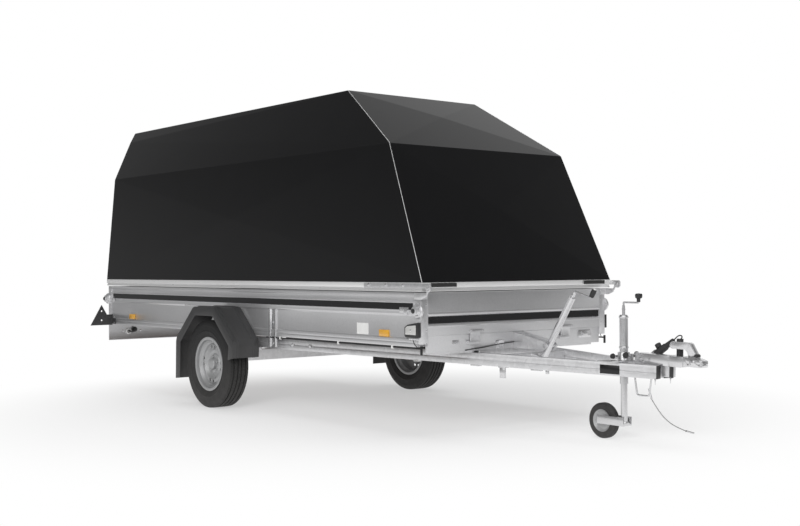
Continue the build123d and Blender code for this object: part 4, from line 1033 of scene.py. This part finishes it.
piece("lamp_windows", [lamp_lens(side) for side in both_sides], clear_lens, "box", "black_plastic")
lamp_screws = [bolt((lamp_screw_x, side * (lamp_face_y + 0.5), lamp_screw_z), (0, side, 0), 4, 2)
               for side in both_sides]
piece("lamp_screws", lamp_screws, bright_zinc, "box", "zinc_plated")
latch_hubs = [disc((x, side * latch_pad_y, latch_pad_z), (0, side, 0), 13, 6, 24, 1.5) for side in both_sides
              for x in latch_pad_x]
piece("latch_hubs", latch_hubs, black_plastic, "box", "black_plastic")
piece("blank_label", [box(label_low, label_high, 0.3, 1)], white_plastic, "box", "black_plastic")
print("side pieces", made[-4:])

# %% [markdown]
# The front wall has two lifting handles, bright strike plates and an oval plate with a
# slot. A helper rounds the corners of a rectangle: each corner is a quarter turn of points
# about a centre that sits one radius inside.

# %% Front plates


def rounded(width, height, radius, steps=6):
    """The outline of a rectangle with round corners, as (across, up) about its middle."""
    outline = []
    for quarter, (sign_x, sign_z) in enumerate(((1, 1), (-1, 1), (-1, -1), (1, -1))):
        for step in range(steps + 1):
            angle = math.radians(90 * (quarter + step / steps))
            outline.append((sign_x * (width / 2 - radius) + radius * math.cos(angle),
                            sign_z * (height / 2 - radius) + radius * math.sin(angle)))
    return outline


def front_plate(y, z, width, height, radius, base, thickness):
    """A rounded plate on the front wall."""
    outline = [(base, y + across, z + up) for across, up in rounded(width, height, radius)]
    return prism(outline, (thickness, 0, 0), 0.8)


forwards = (1, 0, 0)
skirt_x, front_x = 1969, 1975
oval_y, oval_z = 562, 495
joint_y, joint_z = -153, 463
front_shapes = [front_plate(-489, 488, 52, 24, 3, skirt_x, 3),
                front_plate(oval_y, oval_z, 117, 46, 14, skirt_x, 2.5),
                front_plate(oval_y, oval_z, 62, 34, 8, skirt_x + 2.5, 3),
                front_plate(oval_y, oval_z, 44, 14, 5, skirt_x + 5.5, 5)]
for handle_y in (-340, 392):
    front_shapes.append(front_plate(handle_y + 5, 549, 92, 9, 3, front_x, 12))
    front_shapes += [rivet((front_x, handle_y + across, 500), forwards, 4) for across in (-28, 12)]
front_shapes.append(front_plate(joint_y, joint_z, 70, 46, 5, skirt_x, 5))
front_shapes += [bolt((skirt_x + 5, joint_y + across, joint_z), forwards, 6, 4) for across in (-19, 19)]
front_shapes += [rivet((front_x, side * 705, z), forwards, 4.5)
                 for side in both_sides for z in (490, 560, 700)]
piece("front_fittings", front_shapes, bright_zinc, "box", "zinc_plated")
print("front plates in", made[-1])

# %% [markdown]
# A lead crosses the skirt to the marker lamps. Behind the skirt, two zinc plates on the
# chassis close the view over the beams, as the photograph shows metal there and no gap.

# %% Front lead and cross plates
front_lead = rod([(1971, -419, 441), (1976, -300, 449), (1979, -155, 466), (1977, -40, 472), (1971, 68, 482)],
                 2.6)
piece("front_lead", [front_lead], cable_rubber, "box", "cable_rubber")
cross_plates = [box((1938, -278, 396), (1944, 278, 462), 1.0), box((1937, -650, 424), (1943, 650, 462), 1.0)]
piece("front_cross_plate", cross_plates, galvanised, "chassis", "galvanised")
print("front pieces", made[-2:])

# %% [markdown]
# The lid's hinge arms are bolted through the rail. At the rear the lamp panel holds the
# plugs of the tail lamps, seen from the front as a white ring and a black boot.

# %% Lid and rear fittings
arm_bolt_x, arm_bolt_y, arm_bolt_z = (1546, 1702, 1854), 767, 806
lid_bolts = [bolt((x, side * arm_bolt_y, arm_bolt_z), (0, side, 0), 6.5, 4)
             for side in both_sides for x in arm_bolt_x]
piece("lid_bolts", lid_bolts, bright_zinc, "lid", "zinc_plated")

panel_front_x = -1880
panel_bolts = [disc((panel_front_x, side * y, z), forwards, 9, 6, 6, 1) for side in both_sides
               for y, z in ((622, 408), (470, 407))]
piece("rear_bolts", panel_bolts, bright_zinc, "box", "zinc_plated")
triangle_bolts = [bolt((-1775, side * 743, z), (0, side, 0), 6, 4) for side in both_sides for z in (480, 524)]
piece("triangle_bolts", triangle_bolts, bright_zinc, "box", "zinc_plated")

plug_ring_section = [(0, 24), (16, 22), (16, 15), (0, 15)]
rings = [turned(plug_ring_section, (panel_front_x, side * 575, 403), forwards, 32, True, 1.5)
         for side in both_sides]
piece("lamp_plug_rings", rings, white_plastic, "box", "black_plastic")
plug_tail = [(-1862, 525, 416), (-1840, 530, 412), (-1830, 560, 398), (-1866, 574, 403)]
boots = [[disc((panel_front_x, side * 525, 416), forwards, 20, 20, 32, 3),
          rod([(x, side * y, z) for x, y, z in plug_tail], 7)] for side in both_sides]
piece("lamp_plug_boots", boots, black_plastic, "box", "black_plastic")
print("lid and rear pieces", made[-5:])

# %% [markdown]
# Each tail lamp is one red moulding with an amber field at its outer end and a clear one
# at its inner end. The fields are thin windows just under the lamp's rear face, because
# nothing may reach past it. The red body is opaque and hides them as it stands: a body
# that is cut back behind them, or a see-through red, would let them show.

# %% Tail lamp windows
lamp_back_x, lamp_inner_y, lamp_outer_y, lamp_low_z, lamp_high_z = -1933, 426, 666, 350, 452
window_margin, window_front, window_back = 12, 0.1, 3
turn_share, reverse_share = (0.70, 0.94), (0.06, 0.24)


def lamp_window(side, shares):
    """A window across the lamp's face, between two shares of its width."""
    near, far = (side * (lamp_inner_y + (lamp_outer_y - lamp_inner_y) * share) for share in shares)
    return box((lamp_back_x + window_front, near, lamp_low_z + window_margin),
               (lamp_back_x + window_back, far, lamp_high_z - window_margin), 0.8)


turn_fields = [lamp_window(side, turn_share) for side in both_sides]
piece("turn_fields", turn_fields, amber_lens, all_bodies["tail_lamps"], "amber")
reverse_fields = [lamp_window(side, reverse_share) for side in both_sides]
piece("reverse_fields", reverse_fields, clear_lens, all_bodies["tail_lamps"], "red_lens")
print("tail lamp windows", made[-2:])

# %% [markdown]
# The two beams of the drawbar run inwards and down, so whatever is bolted to one follows
# its slope. A function gives the beam's outer face at a distance ahead of the axle, and
# every plate and bracket on the beam takes its corners from it. The beam's half width is
# square to the beam, so across the trailer it counts a little more.

# %% Drawbar fittings
beam_bend_x, beam_bend_y, beam_bend_z = 480, 677.5, 387
beam_end_x, beam_end_y, beam_end_z = 3003, 37.5, 330
beam_half_width, slant_factor = 22.5, 1.032


def beam_spot(x, side, out=0.0, up=0.0):
    """A place on a beam's outer face: out from the face, and up from the beam's lower edge."""
    share = (x - beam_bend_x) / (beam_end_x - beam_bend_x)
    middle = beam_bend_y + (beam_end_y - beam_bend_y) * share
    low = beam_bend_z + (beam_end_z - beam_bend_z) * share
    return (x, side * (middle + beam_half_width * slant_factor + out), low + up)


def near_plate(first_x, last_x, low, high, inner, outer, edge=1.0):
    """A plate that lies along the near beam, between two reaches out from its face."""
    outline = [beam_spot(x, -1, inner, up) for x, up in
               ((first_x, low), (last_x, low), (last_x, high), (first_x, high))]
    return prism(outline, (0, inner - outer, 0), edge)


piece("blank_plate", [near_plate(2704, 2812, 9, 55, 0, 1.6, 0.4)], stripe_black, "chassis", "black_plastic")
hung = [near_plate(1919, 1970, -7, 2, -30, -2), near_plate(2104, 2137, -62, 1, -14, -4, 1.5),
        near_plate(2098, 2143, -5, 1, -30, 0, 1.5), near_plate(2296, 2356, -7, 1, -24, -4),
        near_plate(2384, 2400, -20, 1, -16, -6)]
for side in both_sides:
    hung += [bolt(beam_spot(x, side, 0, 34), (-0.25 * side, side, 0), 7, 5) for x in (620, 760)]
for pin in ((3003, -60, 334), (3069, -22, 344)):
    hung.append(disc(pin, (0, 0, -1), 5, 33, 16, 0.6, 1.2))
piece("drawbar_fittings", hung, bright_zinc, "chassis", "zinc_plated")
ties = [near_plate(x - 9, x + 9, -8, 2, -20, 2) for x in (1547, 1561)]
piece("drawbar_ties", ties, white_plastic, "chassis", "black_plastic")
print("drawbar pieces", made[-3:])

# %% [markdown]
# The coupling points slightly down, so its parts are drawn along its own axis. A pressed
# seam runs round the body at two places, and a rubber boot covers the handle's pivot.

# %% Coupling fittings
coupling_start = Vector((3003, 0, 398.3))
coupling_lean = math.radians(1.294)
coupling_half, coupling_height = 30, 54
seam_places, seam_proud, seam_foot = ((58, 4), (142, 5)), 1.2, 3
coupling_bolts, coupling_pad = (-120, -60), -101


def coupling_spot(dx, y, dz):
    """A place on the coupling, from its reference point along and up its own axes."""
    turn = Matrix.Rotation(coupling_lean, 3, "Y")
    return tuple(coupling_start + turn @ Vector((dx, y, dz)))


def coupling_band(dx, width):
    """A raised seam round the coupling's body."""
    reach, top = coupling_half + seam_proud, coupling_height + seam_proud
    outline = [coupling_spot(dx, y, dz) for y, dz in
               ((-reach, seam_foot), (reach, seam_foot), (reach, top), (-reach, top))]
    along = Vector(coupling_spot(width, 0, 0)) - Vector(coupling_spot(0, 0, 0))
    return prism(outline, along, 1.0)


bands = [coupling_band(dx, width) for dx, width in seam_places]
for side in both_sides:
    bands += [bolt(coupling_spot(dx, side * coupling_half, 24), (0, side, 0), 7, 5) for dx in coupling_bolts]
    bands.append(disc(coupling_spot(coupling_pad, side * coupling_half, 12), (0, side, 0), 9, 1.2, 24, 0.4))
piece("coupling_seams", bands, bright_zinc, "chassis", "zinc_plated")
boot = disc(coupling_spot(212, -16, 62), (0, 1, 0), 10, 32, 24, 2)
piece("handle_boot", [boot], black_plastic, "chassis", "black_plastic")
print("coupling pieces", made[-2:])

# %% [markdown]
# The jockey wheel is wound up and down with a crank at the top of its tube. The crank is a
# bent rod with a turned collar. Its grip is turned from a profile too, and then its wide
# end gets five lobes for the fingers: each point moves in or out with its angle.

# %% Jockey crank
tube_x, crank_end_x, crank_z = 2750, 2850, 713
crank_radius = 5
crank_line = [(tube_x, 0, 676), (tube_x, 0, 700), (tube_x, 0, crank_z), (tube_x + 12, 0, crank_z),
              (crank_end_x - 12, 0, crank_z), (crank_end_x, 0, crank_z), (crank_end_x, 0, crank_z + 10)]
collar_profile = [(0, 9), (8, 9), (10, 7.5), (24, 7.5), (26, 5.5), (26, 0), (0, 0)]
grip_profile = [(0, 0), (0, 8.5), (2, 9.5), (18, 9.5), (21, 16), (25, 19), (36, 20), (41, 19), (44, 16),
                (46, 0)]
lobe_count, lobe_depth, lobe_from = 5, 0.07, 0.012
upwards = (0, 0, 1)

collar = turned(collar_profile, (tube_x, 0, 672), upwards, 32)
piece("jockey_crank_fine", [rod(crank_line, crank_radius), collar], bright_zinc, all_bodies["jockey_crank"],
      all_slots["jockey_crank"], ("jockey_crank",))
grip = turned(grip_profile, (crank_end_x, 0, crank_z + 3), upwards, 48)
grip_axis = at(crank_end_x, 0, 0)
for vert in grip.verts:
    spread = Vector((vert.co.x - grip_axis.x, vert.co.y - grip_axis.y))
    if spread.length > lobe_from:
        lobe = 1 - lobe_depth * (1 + math.cos(lobe_count * math.atan2(spread.y, spread.x)))
        vert.co.x, vert.co.y = grip_axis.x + spread.x * lobe, grip_axis.y + spread.y * lobe
piece("jockey_grip", [grip], black_plastic, all_bodies["jockey_crank"], "black_plastic")
print("jockey crank", made[-2:])

# %% [markdown]
# The jack leans back towards the box, and its crank stands on the same slope. Its places
# are therefore sums of a few vectors: the hub on top of the jack, the elbow of the handle,
# and the jack's own direction. The grip's white end is a piece of its own.

# %% Jack crank
jack_lean = math.radians(32.4)
jack_up = Vector((math.sin(jack_lean), 0, math.cos(jack_lean)))
jack_hub = Vector((2410, 0, 767))
jack_elbow = Vector((2523, 0, 734))
corner = (jack_elbow - jack_hub) * 0.1
jack_line = [jack_hub - jack_up * 40, jack_hub - jack_up * 8, jack_hub, jack_hub + corner,
             jack_elbow - corner, jack_elbow, jack_elbow + jack_up * 12]
jack_collar = disc(jack_hub - jack_up * 34, jack_up, 11, 22, 24, 1.5, 8)
piece("jack_crank_fine", [rod(jack_line, crank_radius), jack_collar], bright_zinc, all_bodies["jack_crank"],
      all_slots["jack_crank"], ("jack_crank",))
jack_grip_profile = [(0, 0), (0, 11), (3, 13.5), (30, 15), (44, 13), (48, 9), (48, 0)]
jack_grip = turned(jack_grip_profile, jack_elbow + jack_up * 4, jack_up, 32)
piece("jack_grip", [jack_grip], black_plastic, all_bodies["jack_crank"], "black_plastic")
jack_cap = disc(jack_elbow + jack_up * 51, jack_up, 8.5, 3, 24, 1)
piece("jack_grip_cap", [jack_cap], white_plastic, all_bodies["jack_crank"], "black_plastic")
print("jack crank", made[-3:])

# %% [markdown]
# A clamp holds the jockey tube. Its screws end in black knobs, each on a short bar that
# comes out of the clamp. The tube itself has two pressed rings, which are turned from a
# section that doesn't reach the axis, so the section is closed before it is spun.

# %% Jockey clamp and tube details
rear_knob, front_knob = (2712, 430), (2800, 440)
bar_half, bar_start_y, bar_end_y, knob_y = 5, 20, 44, 40
tube_ring_section = [(0, 22.2), (0, 24), (2, 25), (10, 25), (12, 24), (12, 22.2)]

knobs = []
for side in both_sides:
    knobs.append(disc((rear_knob[0], side * knob_y, rear_knob[1]), (0, side, 0), 15, 14, 24, 2, 12))
    knobs.append(disc((front_knob[0], side * knob_y, front_knob[1]), (0, side, 0), 17, 16, 24, 2, 13))
bars = [box((x - bar_half, side * bar_start_y, z - bar_half),
            (x + bar_half, side * bar_end_y, z + bar_half), 1.5)
        for side in both_sides for x, z in (rear_knob, front_knob)]
bars += [box((2708, side * bar_start_y, 424), (2740, side * 28, 436), 1.5) for side in both_sides]
piece("clamp_bars", bars, bright_zinc, all_bodies["jockey_clamp"], "zinc_plated")
piece("clamp_grips", knobs, black_plastic, all_bodies["jockey_clamp"], "black_plastic")
tube_rings = [turned(tube_ring_section, (tube_x, 0, z), upwards, 48, True) for z in (630, 470)]
piece("jockey_tube_rings", tube_rings, bright_zinc, all_bodies["jockey_tube"], "zinc_plated")
print("jockey pieces", made[-3:])

# %% [markdown]
# The pressed, folded and cast parts already have their real shape in the frame. Each gets a
# refined copy with a bevel of its own width, which is what shows in the render: thin
# sheet has nearly sharp edges, and castings and mouldings have round ones.

# %% Bevelled copies of the frame's parts
bevelled = {
    "side_wall_right": (0.8, sheet_zinc), "side_wall_left": (0.8, sheet_zinc),
    "front_wall": (0.8, sheet_zinc), "tailgate": (0.8, sheet_zinc),
    "corner_posts": (1.5, galvanised), "lamp_panel": (1.0, sheet_zinc),
    "mudguard_right": (3.0, guard_plastic), "mudguard_left": (3.0, guard_plastic),
    "drawbar_beam_right": (2.0, galvanised), "drawbar_beam_left": (2.0, galvanised),
    "cross_members": (1.5, galvanised), "axle_beam": (2.0, galvanised),
    "mudguard_stays": (1.2, galvanised), "coupling_body": (1.5, bright_zinc),
    "coupling_handle": (3.0, bright_zinc), "nose_block": (1.5, galvanised),
    "jockey_clamp": (1.2, bright_zinc), "jockey_fork": (1.5, bright_zinc), "jack_bracket": (1.0, galvanised),
    "lid_arms": (1.2, galvanised), "lid_ears": (1.2, galvanised), "latches": (1.2, galvanised),
    "rear_triangles": (1.2, black_plastic), "marker_lamps": (2.5, black_plastic),
    "side_reflectors": (1.2, amber_lens), "tail_lamps": (1.5, red_lens), "nose_caps": (1.5, black_plastic),
    "lid_pads": (1.5, grip_rubber), "plug": (1.2, black_plastic), "plug_holder": (1.0, bright_zinc)}
for node, (width, material) in bevelled.items():
    refined(node, width, material)
print("bevelled copies", len(bevelled))

# %% [markdown]
# Round bars, tubes and plain boards show no edge that a bevel would help, so those nodes
# of the frame stay as they are. Only the material in their slot changes.

# %% Finishes on the parts that stay
finishes = {
    "jockey_leg": bright_zinc, "jockey_wheel": wheel_paint, "jockey_tyre": tyre_rubber,
    "jack_tube": bright_zinc, "jack_rod": bright_zinc, "stripes": stripe_black,
    "floor_board": plywood, "floor_bearers": galvanised, "tip_hinges": galvanised,
    "jockey_tube": bright_zinc, "wire_loop": bright_zinc,
    "wire_fittings": bright_zinc, "loom": cable_rubber}
for node, material in finishes.items():
    slots = frame["nodes"][node].data.materials
    slots.clear()
    slots.append(material)
print("finishes on", len(finishes), "nodes")

# %% [markdown]
# The studio is a pale floor in a room of soft greys. What the gloss black lid mirrors
# matters as much as the lamps. The far side of the studio is a white sweep, the near side
# and the ceiling are grey, and a bright wall stands behind the camera, for the zinc to
# pick up. So neighbouring facets of the lid differ in tone. The camera itself sees plain
# white, through Light Path's Is Camera Ray.

# %% Studio world
horizon_level, near_side_level, sweep_level, camera_wall_level = 0.24, 0.12, 0.86, 1.1
sweep_direction = (0.6, 0.8)


def ramp(tree, value, low, high, start, end):
    """A smooth step from start to end as a value goes from low to high."""
    return add_node(tree, "ShaderNodeMapRange", interpolation_type="SMOOTHSTEP", Value=value, From_Min=low,
                    From_Max=high, To_Min=start, To_Max=end).outputs[0]


world = bpy.data.worlds.new("studio")
bpy.context.scene.world = world
world.use_nodes = True
tree = world.node_tree
tree.nodes.clear()
sky = add_node(tree, "ShaderNodeTexCoord").outputs["Generated"]
axes = add_node(tree, "ShaderNodeSeparateXYZ", Vector=sky).outputs
across = maths(tree, "MULTIPLY", axes["Y"], sweep_direction[1])
along = maths(tree, "MULTIPLY", axes["X"], sweep_direction[0])
towards_sweep = maths(tree, "SUBTRACT", across, along)
far_side = ramp(tree, towards_sweep, 0.2, 0.85, 0.0, 1.0)
below_ceiling = ramp(tree, axes["Z"], 0.3, 0.75, 1.0, 0.25)
sweep = maths(tree, "MULTIPLY", far_side, below_ceiling)
near_side = ramp(tree, axes["Z"], 0.04, 0.22, horizon_level, near_side_level)
added_by_sweep = maths(tree, "MULTIPLY", sweep, sweep_level - near_side_level)
behind_camera = ramp(tree, towards_sweep, -0.8, -0.4, 1.0, 0.0)
above_floor = ramp(tree, axes["Z"], 0.0, 0.2, 0.0, camera_wall_level)
camera_wall = maths(tree, "MULTIPLY", behind_camera, above_floor)
level = maths(tree, "ADD", maths(tree, "ADD", added_by_sweep, near_side), camera_wall)
studio = add_node(tree, "ShaderNodeBackground", Color=(1, 1, 1, 1), Strength=level)
white = add_node(tree, "ShaderNodeBackground", Color=(1, 1, 1, 1))
camera_ray = add_node(tree, "ShaderNodeLightPath").outputs["Is Camera Ray"]
seen = add_node(tree, "ShaderNodeMixShader")
output = add_node(tree, "ShaderNodeOutputWorld")
for socket, value in zip(seen.inputs, (camera_ray, studio.outputs[0], white.outputs[0])):
    feed(tree, socket, value)
feed(tree, output.inputs["Surface"], seen.outputs[0])
print("world with", len(tree.nodes), "nodes")

# %% [markdown]
# The floor has to keep the trailer's shadow and still end in white. Near the trailer it is
# mostly paint, which takes the shadow. Further out it turns into plain white light. In
# mirrors it darkens with the distance, so the lid's lower facets aren't all one grey.

# %% Floor
floor_size = 60.0
floor_tone = 0.93
paint_until, white_from, near_glow = 1.3, 3.2, 0.45
mirror_near, mirror_far, mirror_levels = 2.5, 6.0, (0.9, 0.35)

shape = bmesh.new()
bmesh.ops.create_grid(shape, x_segments=1, y_segments=1, size=floor_size / 2)
floor_mesh = bpy.data.meshes.new("floor")
shape.to_mesh(floor_mesh)
shape.free()
floor = bpy.data.objects.new("floor", floor_mesh)
bpy.context.scene.collection.objects.link(floor)
floor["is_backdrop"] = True

floor_paint, tree, shader = new_material("pale floor", Roughness=0.9, Specular_IOR_Level=0.0)
shader.inputs["Base Color"].default_value = (floor_tone, floor_tone, floor_tone, 1)
place = add_node(tree, "ShaderNodeTexCoord").outputs["Object"]
distance = add_node(tree, "ShaderNodeVectorMath", operation="LENGTH")
feed(tree, distance.inputs[0], place)
away = distance.outputs["Value"]
white_share = ramp(tree, away, paint_until, white_from, near_glow, 1.0)
mirrored_white = ramp(tree, away, mirror_near, mirror_far, *mirror_levels)
camera_ray = add_node(tree, "ShaderNodeLightPath").outputs["Is Camera Ray"]
glow = add_node(tree, "ShaderNodeEmission", Strength=maths(tree, "MAXIMUM", mirrored_white, camera_ray))
mixed = add_node(tree, "ShaderNodeMixShader")
for socket, value in zip(mixed.inputs, (white_share, shader.outputs[0], glow.outputs[0])):
    feed(tree, socket, value)
feed(tree, tree.nodes["Material Output"].inputs["Surface"], mixed.outputs[0])
floor_mesh.materials.append(floor_paint)
print("floor of", floor_size, "m")

# %% [markdown]
# Two soft boxes light the trailer: a large one overhead, and one from the camera's side.
# Both are hidden from mirror rays, so that they fill the metal and rubber without drawing
# a bright square in the lid. A lamp of P watts at d metres adds about P / (pi * d)**2 to
# the tone of a white card that faces it.

# %% Lamps


def soft_box(name, place, target, size, card_level):
    """An area lamp whose power is set by the tone it gives a white card."""
    distance = (Vector(target) - Vector(place)).length
    data = bpy.data.lights.new(name, "AREA")
    data.shape = "RECTANGLE"
    data.size, data.size_y = size
    data.energy = card_level * (math.pi * distance) ** 2
    lamp = bpy.data.objects.new(name, data)
    bpy.context.scene.collection.objects.link(lamp)
    lamp.location = place
    aim = (Vector(target) - Vector(place)).to_track_quat("-Z", "Y")
    lamp.rotation_euler = aim.to_euler()
    lamp.visible_glossy = False
    print(name, "lamp of", round(data.energy), "watts")


soft_box("overhead", (-0.3, 0.2, 5.5), (-0.3, 0.0, 0.5), (5.5, 3.0), 0.55)
soft_box("camera side", (5.5, -6.0, 3.6), (0.3, 0.0, 0.7), (3.0, 3.0), 0.42)

# %% [markdown]
# Last, the box of the frame as it was loaded and the box of the dressed trailer are
# set side by side.

# %% The two sizes side by side
boxes = {"cad": cad_box, "visual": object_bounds()}
{key: [list(corner) for corner in value] for key, value in boxes.items()}
